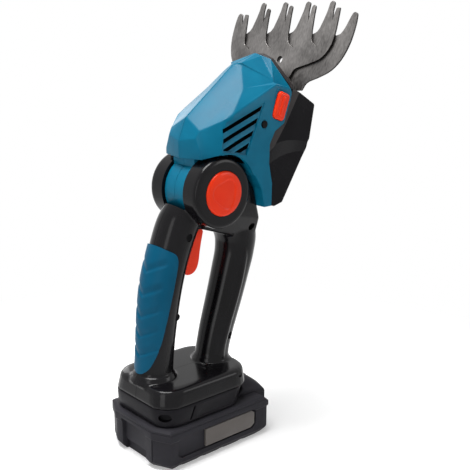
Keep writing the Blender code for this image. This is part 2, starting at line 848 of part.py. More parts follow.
def latch_spring():
    """The coil under the latch."""
    bottom = latch_pocket_bottom() + rest_gap
    spring = coil("latch_spring", 0.0036, 0.0004, bottom, bottom + latch_spring_height,
                  (latch_x, 0, 0), "Z", 3)
    return add_object("latch_spring", spring, shear, plain_steel)


# Dock skirt and its contacts


def dock_outline_low(change=0.0):
    """The skirt's lower edge."""
    return inset(footprint(dock_rear_low, dock_front_low, dock_half_width_low,
                           dock_corner_along, dock_corner_across), change)


def dock_outline_seam(change=0.0):
    """The seam between the skirt and the handle."""
    return inset(footprint(dock_rear_seam, dock_front_seam, dock_half_width_seam,
                           dock_corner_along, dock_corner_across), change)


def dock_outline_rim(change=0.0):
    """The upper rim of the dock."""
    return inset(footprint(dock_rear_rim, dock_front_rim, dock_half_width_rim,
                           dock_corner_along, dock_corner_across), change)


def dock_skirt():
    """The lower ring of the dock, with the channel and lips that hold the battery's rail."""
    skirt = loft("skirt", [ring_at(dock_outline_low(), skirt_bottom),
                           ring_at(dock_outline_seam(), skirt_top)])
    channel_half = rail_half_width + slide_gap
    ceiling = rail_top + ceiling_gap
    channel = box("channel", (rail_rear - slide_gap, -channel_half, skirt_bottom - 0.001),
                  (dock_front_seam + 0.01, channel_half, ceiling))
    skirt = cut(skirt, channel)
    lip_low = shoulder + rail_base + slide_gap
    lip_high = shoulder + rail_base + rail_neck_height - slide_gap
    for side in (-1, 1):
        near = side * (rail_neck_half_width + slide_gap)
        far = side * (channel_half + 0.0010)
        lip = box("lip", (rail_rear - slide_gap, min(near, far), lip_low),
                  (dock_front_low - 0.0010, max(near, far), lip_high))
        inner = side * (channel_half + skirt_wall)
        outer = side * (dock_half_width_seam - skirt_wall)
        pocket = box("pocket", (dock_rear_seam + dock_corner_along, min(inner, outer),
                                skirt_bottom - 0.001),
                     (dock_front_low - dock_corner_along, max(inner, outer),
                      skirt_top - skirt_wall))
        skirt = cut(join(skirt, lip), pocket)
    for place in (-1, 0, 1):
        half = terminal_thickness / 2 + rest_gap
        middle = place * terminal_pitch
        skirt = cut(skirt, box("slit", (terminal_x - terminal_length / 2 - rest_gap,
                                        middle - half, ceiling - 0.001),
                               (terminal_x + terminal_length / 2 + rest_gap, middle + half,
                                skirt_top + 0.001)))
    return add_object("dock_skirt", skirt, shear, matt_black)


def terminal_block():
    """The block on the skirt's roof, with three contact blades that hang through the roof."""
    half = terminal_pitch + 0.0060
    block = box("terminal_block", (terminal_x - terminal_length, -half, dock_bottom),
                (terminal_x + terminal_length, half, dock_bottom + 0.0060))
    for place in (-1, 0, 1):
        middle = place * terminal_pitch
        half_blade = terminal_thickness / 2
        block = join(block, box("blade", (terminal_x - terminal_length / 2, middle - half_blade,
                                          contact_low),
                                (terminal_x + terminal_length / 2, middle + half_blade,
                                 dock_bottom + 0.0010)))
    return add_object("terminal_block", block, shear, brass)


# Handle


def dock_upper(change):
    """The upper dock of the handle, or its hollow when change is more than nothing."""
    low = dock_bottom - (0.001 if change > 0 else 0.0)
    return loft("dock_upper", [ring_at(dock_outline_seam(change), low),
                               ring_at(dock_outline_rim(change), dock_top - dock_edge - change),
                               ring_at(dock_outline_rim(change + dock_edge * 0.8),
                                       dock_top - change)])


def cheek(side):
    """One round cheek of the pivot, with its raised ring."""
    ring = button_radius + button_ring
    profile = [(0.0, cheek_outer), (ring, cheek_outer), (ring + 0.0012, cheek_outer - 0.0012),
               (cheek_radius - cheek_edge, cheek_outer - 0.0012),
               (cheek_radius, cheek_outer - 0.0012 - cheek_edge), (cheek_radius, cheek_inner),
               (0.0, cheek_inner)]
    return turned("cheek", profile, (pivot_x, 0, pivot_z), side, round_sides, closed=False)


def cheek_hollow(side):
    """The room in a cheek for the lock button, with the axle's hole."""
    room = cheek_radius - shell_wall
    mouth = button_radius + slide_gap
    floor = cheek_inner + shell_wall
    roof = cheek_outer - shell_wall
    axle = axle_radius + rest_gap
    profile = [(0.0, cheek_outer + 0.001), (mouth, cheek_outer + 0.001), (mouth, roof),
               (room, roof), (room, floor), (axle, floor), (axle, cheek_inner - 0.001),
               (0.0, cheek_inner - 0.001)]
    return turned("cheek_hollow", profile, (pivot_x, 0, pivot_z), side, round_sides, closed=False)


def shoulder_lobe():
    """The strut's flared top, which runs into the front of both cheeks."""
    return hull("shoulder", both_sides(lobe_points))


def stem_outline(margin=0.0):
    """The neck's stem from the side: from the pivot up to the head's rear floor."""
    outline = [(head_rear, stem_top), (pivot_x - 0.96 * neck_radius, pivot_z),
               (pivot_x + 0.96 * neck_radius, pivot_z), (pivot_x + 0.6 * neck_radius, stem_top)]
    return inset(outline, -margin) if margin else outline


def tilted(outline, angle):
    """A side view outline turned backwards with the head, about the pivot."""
    cosine, sine = math.cos(angle), math.sin(angle)
    return [(pivot_x + cosine * (x - pivot_x) - sine * (z - pivot_z),
             pivot_z + sine * (x - pivot_x) + cosine * (z - pivot_z)) for x, z in outline]


def overmould_outline(margin=0.0):
    """The side view of the grip's soft cover: the rear of the grip, running to a point below."""
    return inset(overmould_profile, -margin) if margin else overmould_profile


def grip_overmould_blank():
    """The soft cover before it is split."""
    skin = tube("skin", grip_line, overmould_proud)
    skin = combine(skin, side_prism("patch", overmould_outline(), -0.03, 0.03), "INTERSECT")
    return cut(skin, tube("core", grip_line, -overmould_depth))


def at_trigger_pin(outline):
    """An outline that is given from the trigger's pin."""
    return [(trigger_pin_x + x, trigger_pin_z + z) for x, z in outline]


def trigger_outline(margin=0.0):
    """The trigger seen from the side: finger face forwards, hub at the top."""
    outline = at_trigger_pin(trigger_profile)
    return inset(outline, -margin) if margin else outline


def handle_blank():
    """Both halves of the handle as one hollow body."""
    body = join(tube("grip", grip_line, 0.0), tube("strut", strut_line, 0.0),
                solver=closed_solver)
    web = side_prism("web", [(web_low[0], web_low[1] + 0.004), (web_low[0] + 0.006, web_low[1]),
                             (web_high[0] - 0.006, web_low[1]), (web_high[0], web_low[1] + 0.004),
                             (web_high[0], web_high[1]), (web_low[0], web_high[1])],
                     -web_half_width, web_half_width)
    body = join(body, web, cheek(1), cheek(-1), shoulder_lobe(), dock_upper(0.0),
                solver=closed_solver)
    hollow = join(tube("grip_hollow", grip_line, -shell_wall),
                  tube("strut_hollow", strut_line, -shell_wall), dock_upper(shell_wall),
                  solver=closed_solver)
    keep = cylinder("keep", cheek_radius + 0.0010, -0.04, 0.04, (pivot_x, 0, pivot_z), "Y",
                    round_sides)
    hollow = cut(hollow, keep, solver=closed_solver)
    body = cut(body, hollow, cheek_hollow(1), cheek_hollow(-1), solver=closed_solver)
    slot_half = cheek_inner - 0.00005
    slot = cylinder("neck_slot", neck_radius + neck_clearance, -slot_half, slot_half,
                    (pivot_x, 0, pivot_z), "Y", round_sides)
    stem_room = side_prism("stem_room", tilted(stem_outline(neck_clearance), tilt_range),
                           -slot_half, slot_half)
    body = cut(body, slot, stem_room, solver=closed_solver)
    patch = side_prism("patch", overmould_outline(rest_gap), -0.03, 0.03)
    sleeve = combine(tube("sleeve", grip_line, 0.004), patch, "INTERSECT")
    sleeve = cut(sleeve, tube("core", grip_line, -overmould_depth - rest_gap))
    body = cut(body, sleeve, solver=closed_solver)
    bosses = cylinder("boss", 0.0042, -0.0125, 0.0125, (trigger_pin_x, 0, trigger_pin_z), "Y", 16)
    return join(body, bosses, solver=closed_solver)


def cut_handle(body):
    """Openings for the trigger, its pin and the screws."""
    opening = side_prism("trigger_opening", trigger_outline(0.0010),
                         -trigger_half_width - slide_gap, trigger_half_width + slide_gap)
    swing = side_prism("trigger_swing", at_trigger_pin(trigger_room),
                       -trigger_half_width - slide_gap, trigger_half_width + slide_gap)
    reach = trigger_pin_half_length + rest_gap
    pin_hole = cylinder("pin_hole", trigger_pin_radius + rest_gap, -reach, reach,
                        (trigger_pin_x, 0, trigger_pin_z), "Y", 16)
    body = cut(body, opening, swing, pin_hole, solver=closed_solver)
    wells = [cylinder("well", screw_recess, -0.030, -depth + 0.0022, (x, 0, z), "Y", 14)
             for x, z, depth in handle_screw_places]
    return cut(body, *wells, solver=closed_solver)


def half_of(body, side):
    """One side of a body, split in the middle plane."""
    reach = 0.2
    near, far = -side * split_gap / 2, -side * reach
    low, high = min(-near, far), max(-near, far)
    remover = box("remover", (-reach, low, -reach), (2 * reach, high, 3 * reach))
    return combine(body, remover, "DIFFERENCE", closed_solver)


def handle_shells():
    """Right and left halves of the handle."""
    blank = cut_handle(handle_blank())
    right = add_object("handle_shell_right", half_of(blank.copy(), -1), shear, gloss_black)
    left = add_object("handle_shell_left", half_of(blank, 1), shear, gloss_black)
    return right, left


def grip_overmoulds():
    """The soft cover in two halves, one on each handle shell."""
    blank = grip_overmould_blank()
    add_object("grip_overmould_right", half_of(blank.copy(), -1), shear, blue_grip)
    add_object("grip_overmould_left", half_of(blank, 1), shear, blue_grip)


def pivot_axle():
    """The hollow axle through both cheeks and the head's neck."""
    reach = cheek_inner + shell_wall + detent_thickness
    inner = axle_radius - axle_wall
    profile = [(axle_radius, reach), (axle_radius, -reach), (inner, -reach), (inner, reach)]
    made = add_object("pivot_axle", turned("pivot_axle", profile, (pivot_x, 0, pivot_z), 1, 24),
                      shear, plain_steel)
    shade(made)


def detent_low():
    """Where the detent ring lies against the cheek's floor."""
    return cheek_inner + shell_wall + rest_gap


def detent_rings():
    """Toothed rings that the lock buttons engage, one in each cheek."""
    for name, side in (("detent_ring_right", -1), ("detent_ring_left", 1)):
        low = detent_low()
        inner = axle_radius + rest_gap
        profile = [(detent_radius, low + detent_thickness), (detent_radius, low),
                   (inner, low), (inner, low + detent_thickness)]
        made = add_object(name, turned(name, profile, (pivot_x, 0, pivot_z), side, 24),
                          shear, plain_steel)
        shade(made)


def pivot_buttons():
    """Round lock buttons: a domed cup with a skirt that slides in the cheek's mouth."""
    for name, side in (("pivot_button_right", -1), ("pivot_button_left", 1)):
        top = cheek_outer + button_proud
        low = top - button_depth
        skirt = button_radius - 0.0020
        profile = [(0.0, top), (0.55 * button_radius, top - 0.0002),
                   (button_radius - 0.0012, top - 0.0008), (button_radius, top - 0.0020),
                   (button_radius, low), (skirt, low), (skirt, top - 0.0042), (0.0, top - 0.0042)]
        mesh = turned(name, profile, (pivot_x, 0, pivot_z), side, round_sides, closed=False)
        made = moving(name, mesh, orange_button, (pivot_x, side * top, pivot_z))
        shade(made)


def pivot_springs():
    """Coils between the detent rings and the lock buttons."""
    for name, side in (("pivot_spring_right", -1), ("pivot_spring_left", 1)):
        low = detent_low() + detent_thickness + rest_gap
        high = cheek_outer + button_proud - 0.0042 - rest_gap
        ends = sorted((side * low, side * high))
        mesh = coil(name, 0.0105, 0.0005, ends[0], ends[1], (pivot_x, 0, pivot_z), "Y", 2.5, 10)
        add_object(name, mesh, shear, plain_steel)


def trigger():
    """The finger trigger, hung on its pin at the top."""
    body = rounded(side_prism("trigger", trigger_outline(), -trigger_half_width,
                              trigger_half_width), 0.0014, 2)
    body = cut(body, cylinder("pin", trigger_pin_radius + rest_gap, -0.02, 0.02,
                              (trigger_pin_x, 0, trigger_pin_z), "Y", 16))
    body = cut(body, cylinder("spring_room", trigger_hub_radius, -0.0036, 0.0036,
                              (trigger_pin_x, 0, trigger_pin_z), "Y", 16))
    moving("trigger", body, orange_button, (trigger_pin_x, 0.0, trigger_pin_z))


def trigger_pin():
    """The steel pin that the trigger turns on."""
    made = add_object("trigger_pin", cylinder("trigger_pin", trigger_pin_radius,
                                              -trigger_pin_half_length, trigger_pin_half_length,
                                              (trigger_pin_x, 0, trigger_pin_z), "Y", 16),
                      shear, plain_steel)
    shade(made)


def trigger_spring():
    """The coil round the pin that turns the trigger back."""
    mesh = coil("trigger_spring", 0.0034, 0.0004, -0.0032, 0.0032,
                (trigger_pin_x, 0, trigger_pin_z), "Y", 3)
    moving("trigger_spring", mesh, plain_steel, (trigger_pin_x, 0.0, trigger_pin_z))


def switch_body():
    """The power switch behind the trigger, in the hollow of the grip."""
    body = box("switch", (switch_low[0], -switch_half_width, switch_low[1]),
               (switch_high[0] - 0.0030, switch_half_width, switch_high[1]))
    middle = (switch_low[1] + switch_high[1]) / 2
    button = cylinder("plunger", plunger_radius, switch_high[0] - 0.0035, switch_high[0],
                      (0, 0, middle), "X", 12)
    add_object("switch_body", join(body, button), shear, inner_grey)


def handle_screws():
    """Pan head screws of the handle, in their recesses."""
    for count, (x, z, depth) in enumerate(handle_screw_places, 1):
        name = f"handle_screw_{count}"
        outer = -depth + 0.0022 - rest_gap
        screw = cylinder(name, screw_radius, outer - screw_head, outer, (x, 0, z), "Y", 12)
        add_object(name, screw, shear, dark_steel)


# Head


def head_points():
    """Corner points of the faceted head shell: the ridge, the creases and the side walls."""
    return head_ridge + both_sides(head_sides)


def head_hull(name, wall=0.0):
    """The head's convex body, or its hollow when a wall is given."""
    points = [Vector(point) for point in head_points()]
    low = Vector([min(point[axis] for point in points) for axis in range(3)])
    high = Vector([max(point[axis] for point in points) for axis in range(3)])
    middle = (low + high) / 2
    shrink = [1.0 - 2.0 * wall / (high[axis] - low[axis]) for axis in range(3)]
    moved = [tuple(middle[axis] + (point[axis] - middle[axis]) * shrink[axis]
                   for axis in range(3)) for point in points]
    return hull(name, moved)


def vent_slots():
    """Slanted slots through the side walls, one below the other."""
    slots = []
    along = Vector(vent_slope).normalized()
    across = Vector((-along.y, along.x)) * vent_height
    for corner, length in zip([Vector(corner) for corner in vent_corners], vent_lengths):
        far = corner + along * length
        slots.append([tuple(corner), tuple(far), tuple(far - across), tuple(corner - across)])
    return slots


def head_blank():
    """Both halves of the head as one hollow body."""
    body = join(head_hull("head_outer"),
                side_prism("tail", head_tail, -head_half_width, head_half_width))
    sweep = []
    for side in (-1, 1):
        ends = sorted((side * (cheek_inner - rest_gap), side * 0.05))
        sweep.append(cylinder("cheek_room", cheek_radius + 0.0025, ends[0], ends[1],
                              (pivot_x, 0, pivot_z), "Y", round_sides))
    hollow = join(head_hull("head_inner", head_wall),
                  side_prism("tail_hollow", inset(head_tail, head_wall),
                             -head_half_width + head_wall, head_half_width - head_wall))
    keep = cylinder("keep", cheek_radius + 0.0025 + head_wall, -0.05, 0.05,
                    (pivot_x, 0, pivot_z), "Y", round_sides)
    hollow = cut(hollow, keep)
    neck = cylinder("neck", neck_radius, -cheek_inner + rest_gap, cheek_inner - rest_gap,
                    (pivot_x, 0, pivot_z), "Y", round_sides)
    stem = side_prism("stem", stem_outline(), -cheek_inner + rest_gap, cheek_inner - rest_gap)
    body = cut(body, hollow, *sweep, solver=closed_solver)
    body = join(body, neck, stem, solver=closed_solver)
    body = cut(body, cylinder("axle_hole", axle_radius + rest_gap, -0.05, 0.05,
                              (pivot_x, 0, pivot_z), "Y", 24))
    return body


def release_box(name, margin, low_y, high_y, side):
    """A block round a release button, square to the side wall."""
    half_long = release_length / 2 + margin
    half_high = release_height / 2 + margin
    near, far = sorted((side * low_y, side * high_y))
    return head_box(name, (near, release_u - half_long, release_n - half_high),
                    (far, release_u + half_long, release_n + half_high))


def add_pockets(body):
    """Blind pockets in the side walls, which guide the release buttons."""
    floor = head_half_width + release_proud - release_depth - release_spring_height - 2 * rest_gap
    for side in (-1, 1):
        body = join(body, release_box("pocket", slide_gap + pocket_wall, floor - pocket_wall,
                                      head_half_width - 0.0010, side))
        body = cut(body, release_box("room", slide_gap, floor, head_half_width + 0.01, side))
    cover_room = head_side_prism("cover_room", inset(cover_profile, -rest_gap), 0.06)
    return cut(body, cover_room)


def head_shells():
    """Right and left halves of the head."""
    body = add_pockets(head_blank())
    for outline in vent_slots():
        body = cut(body, side_prism("slot", outline, -0.05, 0.05))
    body = cut(body, cylinder("well", screw_recess, -0.05, -head_half_width + 0.0020,
                              head_screw, "Y", 14))
    add_object("head_shell_right", half_of(body.copy(), -1), shear, blue_shell)
    add_object("head_shell_left", half_of(body, 1), shear, blue_shell)


def release_buttons():
    """Side buttons that free the blades."""
    for name, side in (("release_button_right", 1), ("release_button_left", -1)):
        high = head_half_width + release_proud
        low = high - release_depth
        near, far = sorted((side * low, side * high))
        mesh = box(name, (near, release_u - release_length / 2, release_n - release_height / 2),
                   (far, release_u + release_length / 2, release_n + release_height / 2))
        mesh = rounded(mesh, 0.0015, 2)
        mesh.transform(head_frame)
        moving(name, mesh, orange_button, head_point(side * high, release_u, release_n))


def release_springs():
    """Coils at the bottom of the release buttons' pockets."""
    centre = head_point(0.0, release_u, release_n)
    for name, side in (("release_spring_right", -1), ("release_spring_left", 1)):
        high = head_half_width + release_proud - release_depth - rest_gap
        low = high - release_spring_height
        ends = sorted((side * low, side * high))
        mesh = coil(name, 0.0040, 0.0004, ends[0], ends[1], centre, "Y", 3)
        add_object(name, mesh, shear, plain_steel)


def gear_cover():
    """The black housing under the head, open towards the head and slotted for the blades."""
    outline = cover_profile
    cover = head_side_prism("cover", outline, cover_half_width)
    cover = rounded(cover, 0.0016, 1, math.radians(60))
    inner = inset(outline, cover_wall)
    inner[0] = (inner[0][0], outline[0][1] + 0.002)
    for step in range(7, len(outline)):
        inner[step] = (inner[step][0], outline[step][1] + 0.002)
    cover = cut(cover, head_side_prism("cover_hollow", inner, cover_half_width - cover_wall))
    slot = head_box("blade_slot", (-blade_root_half_width - rest_gap, plate_front,
                                   -blade_thickness - rest_gap),
                    (blade_root_half_width + rest_gap, -0.060, blade_thickness + 2 * rest_gap))
    add_object("gear_cover", cut(cover, slot), shear, gloss_black)


def front_lip():
    """The dark plate that closes the head's slanted front, above the blades."""
    top = Vector((head_ridge[-1][0], head_ridge[-1][2]))
    low = Vector((head_rim[0], head_rim[2]))
    down = (low - top).normalized()
    out = Vector((-down.y, down.x))
    reach = (low - top).length
    plane = Matrix(((0, down.x, out.x, top.x), (1, 0, 0, 0), (0, down.y, out.y, top.y),
                    (0, 0, 0, 1)))
    wide = head_rim[1] - 0.0005
    right = [(0.0020, 0.0012), (0.41 * wide, 0.24 * reach), (wide - 0.0010, reach - 0.0030),
             (wide, reach - 0.0010)]
    left = [(-x, y) for x, y in reversed(right)]
    plate = prism("front_lip", left + right, rest_gap, rest_gap + lip_thickness, plane)
    add_object("front_lip", plate, shear, gloss_black)


def gear_outline(teeth, phase):
    """Straight-flanked teeth round a circle."""
    pitch_radius = gear_module * teeth / 2
    tip = pitch_radius + 0.9 * gear_module
    root = pitch_radius - 1.15 * gear_module
    pitch = 2 * math.pi / teeth
    points = []
    for tooth in range(teeth):
        middle = phase + tooth * pitch
        for radius, share in ((root, -0.33), (tip, -0.11), (tip, 0.11), (root, 0.33)):
            angle = middle + share * pitch
            points.append((radius * math.cos(angle), radius * math.sin(angle)))
    return points


def gear_prism(name, teeth, phase, along, low, high):
    """A toothed wheel square to the blade plane."""
    return prism(name, gear_outline(teeth, phase), low, high,
                 head_frame @ Matrix.Translation((0, along, 0)))


def crank_gear():
    """The large wheel with its crank pin under the moving blade's tail."""
    wheel = gear_prism("crank_gear", gear_teeth, -math.pi / 2, crank_centre, gear_bottom, gear_top)
    wheel = cut(wheel, head_cylinder("bore", 0.0026, gear_bottom - 0.001, gear_bottom + 0.004,
                                     crank_centre, 0.0, 16))
    swing = math.asin((crank_centre - blade_pivot) * math.sin(blade_swing) / crank_throw)
    right = -crank_throw * math.sin(swing)
    along = crank_centre - crank_throw * math.cos(swing)
    pin = head_cylinder("crank_pin", crank_pin_radius, gear_top - 0.0005, 0.0, along, right, 12)
    mesh = join(wheel, pin)
    moving("crank_gear", mesh, brass, head_point(0, crank_centre, gear_top))


def gear_pin():
    """The fixed pin that the crank gear turns on."""
    mesh = head_cylinder("gear_pin", 0.0023, case_top - case_depth + case_wall + rest_gap,
                         gear_bottom + 0.004 - rest_gap, crank_centre, 0.0, 16)
    add_object("gear_pin", mesh, shear, plain_steel)


def rotor():
    """The motor's shaft and the pinion on its end."""
    half_pitch = math.pi / pinion_teeth
    pinion = gear_prism("pinion", pinion_teeth, math.pi / 2 + half_pitch, pinion_u,
                        gear_bottom, gear_top)
    pinion = cut(pinion, head_cylinder("bore", shaft_radius + rest_gap, gear_bottom - 0.001,
                                       gear_top + 0.001, pinion_u, 0.0, 12))
    origin = head_point(0, pinion_u, gear_top)
    moving("pinion", pinion, brass, origin)
    shaft = head_cylinder("motor_shaft", shaft_radius, gear_bottom - 0.0005,
                          plate_top + rest_gap + motor_length + motor_cap_height, pinion_u, 0.0, 12)
    moving("motor_shaft", shaft, plain_steel, origin)


def gearbox():
    """The plate that carries the motor and the blades, and the cup under it."""
    plate = head_box("plate", (-plate_half_width, plate_rear, plate_bottom),
                     (plate_half_width, plate_front - rest_gap, plate_top))
    window = crank_throw + crank_pin_radius + 0.0010
    plate = cut(plate, head_cylinder("window", window, plate_bottom - 0.001, plate_top + 0.001,
                                     crank_centre, 0.0, 20),
                head_cylinder("shaft_hole", shaft_radius + rest_gap, plate_bottom - 0.001,
                              plate_top + 0.001, pinion_u, 0.0, 16),
                head_cylinder("pin_hole", 0.0030 + rest_gap, plate_bottom - 0.001,
                              plate_top + 0.001, blade_pivot, 0.0, 16))
    add_object("gearbox_plate", plate, shear, inner_grey)
    reach = gear_module * (gear_teeth / 2 + 1.5)
    half = reach + case_wall
    case = head_box("case", (-half, pinion_u - 0.0080, case_top - case_depth),
                    (half, crank_centre + half, case_top))
    case = cut(case, head_box("case_hollow", (-reach, pinion_u - 0.0080 + case_wall,
                                              case_top - case_depth + case_wall),
                              (reach, crank_centre + reach, case_top + 0.001)))
    add_object("gearbox_case", case, shear, inner_grey)


def motor():
    """The can motor that stands on the plate, and its rear cap."""
    low = plate_top + rest_gap
    can = head_cylinder("motor_can", motor_radius, low, low + motor_length, pinion_u, 0.0, 28)
    bore = head_cylinder("bore", shaft_radius + rest_gap, low - 0.001, low + motor_length + 0.001,
                         pinion_u, 0.0, 12)
    made = add_object("motor_can", cut(can, bore), shear, plain_steel)
    shade(made)
    cap_low = low + motor_length + rest_gap
    cap = head_cylinder("cap", motor_radius - 0.0020, cap_low, cap_low + motor_cap_height,
                        pinion_u, 0.0, 24)
    bore = head_cylinder("bore", shaft_radius + rest_gap, cap_low - 0.001, cap_low + 0.01,
                         pinion_u, 0.0, 12)
    add_object("motor_end_cap", cut(cap, bore), shear, inner_grey)


def finger(middle, tip_along, root_along, tip_half, root_half):
    """The points of one finger, from its left root over the tip to its right root."""
    shoulder_along = tip_along - 0.0024
    fillet_half = 0.68 * root_half
    fillet_along = root_along + 0.0035
    return [(middle - root_half, root_along), (middle - fillet_half, fillet_along),
            (middle - tip_half, shoulder_along),
            (middle - 0.45 * tip_half, tip_along), (middle + 0.45 * tip_half, tip_along),
            (middle + tip_half, shoulder_along),
            (middle + fillet_half, fillet_along), (middle + root_half, root_along)]


def round_loop(centre_along, radius, sides):
    """A round hole as a closed run of points, turned the other way to its outline."""
    return [(radius * math.sin(2 * math.pi * step / sides),
             centre_along + radius * math.cos(2 * math.pi * step / sides))
            for step in range(sides)]


def fixed_blade_outline():
    """Six fingers, the round shoulders and the root that runs into the head."""
    root = -0.0245
    right = [(0.0, root - 0.0015)]
    right += finger(finger_pitch / 2, 0.0, root, 0.0024, 0.0088)
    right += [(finger_pitch, root - 0.0018)]
    right += finger(1.5 * finger_pitch, 0.0, root - 0.0002, 0.0024, 0.0088)
    right += [(2.0 * finger_pitch - 0.0002, root - 0.0025)]
    outer = 2.5 * finger_pitch
    right += [(outer - 0.0090, root - 0.0012), (outer - 0.0062, root + 0.0030),
              (outer - 0.0028, -0.0114), (outer - 0.0016, -0.0091),
              (outer + 0.0008, -0.0090), (outer + 0.0024, -0.0112), (outer + 0.0032, -0.0200),
              (outer + 0.0022, -0.0330), (outer - 0.0020, -0.0450), (outer - 0.0090, -0.0535),
              (outer - 0.0190, -0.0590), (outer - 0.0290, -0.0635), (outer - 0.0322, -0.0698),
              (blade_root_half_width, -0.0703), (blade_root_half_width, -0.0880),
              (0.0140, crank_centre - 0.0040)]
    left = [(-x, y) for x, y in reversed(right[1:])]
    return right + left


def fixed_blade():
    """The lower blade, which stands still."""
    loops = [fixed_blade_outline(), round_loop(blade_hole, blade_hole_radius, 14),
             round_loop(blade_pivot, 0.0030 + rest_gap, 16),
             round_loop(crank_centre, crank_throw + crank_pin_radius + 0.0010, 18)]
    mesh = prism("fixed_blade", loops, -blade_thickness, 0.0, head_frame)
    add_object("fixed_blade", mesh, shear, blade_steel)


def moving_blade_outline():
    """Five teeth, the shoulders and the tail with the crank slot."""
    root = -0.0350
    right = finger(0.0, -0.0045, root, 0.0017, 0.0074)[4:]
    right += [(0.5 * tooth_pitch, root - 0.0030)]
    right += finger(tooth_pitch, -0.0058, root, 0.0017, 0.0074)
    right += [(1.5 * tooth_pitch, root - 0.0030)]
    outer = 2.0 * tooth_pitch
    right += [(outer - 0.0074, root), (outer - 0.0050, root + 0.0040),
              (outer - 0.0017, -0.0119), (outer - 0.0008, -0.0095),
              (outer + 0.0008, -0.0095), (outer + 0.0017, -0.0119), (outer + 0.0022, -0.0340),
              (outer - 0.0044, -0.0460), (outer - 0.0157, -0.0510), (outer - 0.0289, -0.0550),
              (outer - 0.0322, -0.0600), (outer - 0.0340, -0.0660), (outer - 0.0350, -0.0860),
              (0.0055, -0.0900), (0.0055, crank_centre - 0.0060)]
    left = [(-x, y) for x, y in reversed(right)]
    return right + left


def slot_loop():
    """The slot in the moving blade's tail."""
    half = crank_pin_radius + rest_gap
    reach = crank_throw + crank_pin_radius + 0.0004
    return [(half, crank_centre - reach), (half, crank_centre + reach),
            (-half, crank_centre + reach), (-half, crank_centre - reach)]


def moving_blade():
    """The upper blade, which swings on its pin."""
    loops = [moving_blade_outline(), round_loop(blade_hole, blade_hole_radius + 0.0012, 14),
             round_loop(blade_pivot, 0.0030 + slide_gap, 16), slot_loop()]
    swing = (Matrix.Translation((0, blade_pivot, 0)) @ Matrix.Rotation(blade_swing, 4, "Z")
             @ Matrix.Translation((0, -blade_pivot, 0)))
    mesh = prism("moving_blade", loops, slide_gap, slide_gap + blade_thickness, head_frame @ swing)
    moving("moving_blade", mesh, blade_steel, head_point(0, blade_pivot, 0))


def blade_pivot_pin():
    """The headed pin through both blades."""
    head_low = slide_gap + blade_thickness + slide_gap
    shank = head_cylinder("shank", 0.0030, plate_bottom, head_low + 0.0005, blade_pivot, 0.0, 16)
    head = head_cylinder("head", 0.0042, head_low, head_low + 0.0018, blade_pivot, 0.0, 16)
    add_object("blade_pivot_pin", join(shank, head), shear, plain_steel)


def head_screws():
    """The screw in the side of the head."""
    outer = -head_half_width + 0.0020 - rest_gap
    screw = cylinder("screw", screw_radius, outer - screw_head, outer, head_screw, "Y", 12)
    add_object("head_screws", screw, shear, dark_steel)


battery_case_lower()
battery_screws()
battery_case_upper()
battery_cells()
cell_holder()
cell_straps()
battery_board()
battery_terminals()
battery_label()
battery_latch()
latch_spring()
dock_skirt()
terminal_block()
handle_shells()
handle_screws()
grip_overmoulds()
pivot_axle()
detent_rings()
pivot_buttons()
pivot_springs()
trigger()
trigger_pin()
trigger_spring()
switch_body()
head_shells()
release_buttons()
release_springs()
gear_cover()
front_lip()
crank_gear()
gear_pin()
rotor()
gearbox()
motor()
fixed_blade()
moving_blade()
blade_pivot_pin()
head_screws()
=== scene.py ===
import math

import bmesh
import bpy
from mathutils import Matrix, Vector


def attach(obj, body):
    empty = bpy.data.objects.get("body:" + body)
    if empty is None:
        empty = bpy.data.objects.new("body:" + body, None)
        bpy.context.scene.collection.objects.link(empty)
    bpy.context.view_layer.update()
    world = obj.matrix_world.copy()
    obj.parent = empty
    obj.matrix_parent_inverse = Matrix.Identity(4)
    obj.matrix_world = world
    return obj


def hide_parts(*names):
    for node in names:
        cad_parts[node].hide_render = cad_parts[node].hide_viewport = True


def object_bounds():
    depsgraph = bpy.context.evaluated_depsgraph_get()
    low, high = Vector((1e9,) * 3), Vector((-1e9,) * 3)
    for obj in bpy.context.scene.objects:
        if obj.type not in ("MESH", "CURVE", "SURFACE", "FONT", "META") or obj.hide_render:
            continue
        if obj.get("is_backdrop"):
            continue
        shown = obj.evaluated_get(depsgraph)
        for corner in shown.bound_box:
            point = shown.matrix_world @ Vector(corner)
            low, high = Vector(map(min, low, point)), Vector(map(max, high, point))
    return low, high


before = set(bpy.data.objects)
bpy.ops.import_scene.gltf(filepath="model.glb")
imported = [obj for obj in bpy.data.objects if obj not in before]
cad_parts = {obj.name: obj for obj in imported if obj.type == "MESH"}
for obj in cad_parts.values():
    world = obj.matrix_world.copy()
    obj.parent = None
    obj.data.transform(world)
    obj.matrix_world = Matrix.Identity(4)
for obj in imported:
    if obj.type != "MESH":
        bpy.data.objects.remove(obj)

cad_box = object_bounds()


# Battery tub. The lower half of the slide-on battery, injection moulded in black ABS with a
# spark-eroded matt face. Its rear end stands on two feet, its front corners slope in, and its
# side has a sunk field with room for a plate.

both_sides = (-1, 1)


def linear(code):
    """An sRGB hex value as the linear colour that a shader takes."""
    values = [int(code[place:place + 2], 16) / 255 for place in (1, 3, 5)]
    return [v / 12.92 if v <= 0.04045 else ((v + 0.055) / 1.055) ** 2.4 for v in values] + [1.0]


def add_node(tree, kind, settings={}, values={}, links={}, stops=()):
    """One node with its settings, socket values, links into it and, for a ramp, its stops."""
    node = tree.nodes.new(kind)
    for name, value in settings.items():
        setattr(node, name, value)
    for name, value in values.items():
        node.inputs[name].default_value = value
    for name, source in links.items():
        tree.links.new(source, node.inputs[name])
    for place, (position, code) in enumerate(stops):
        node.color_ramp.elements[place].position = position
        node.color_ramp.elements[place].color = linear(code)
    return node


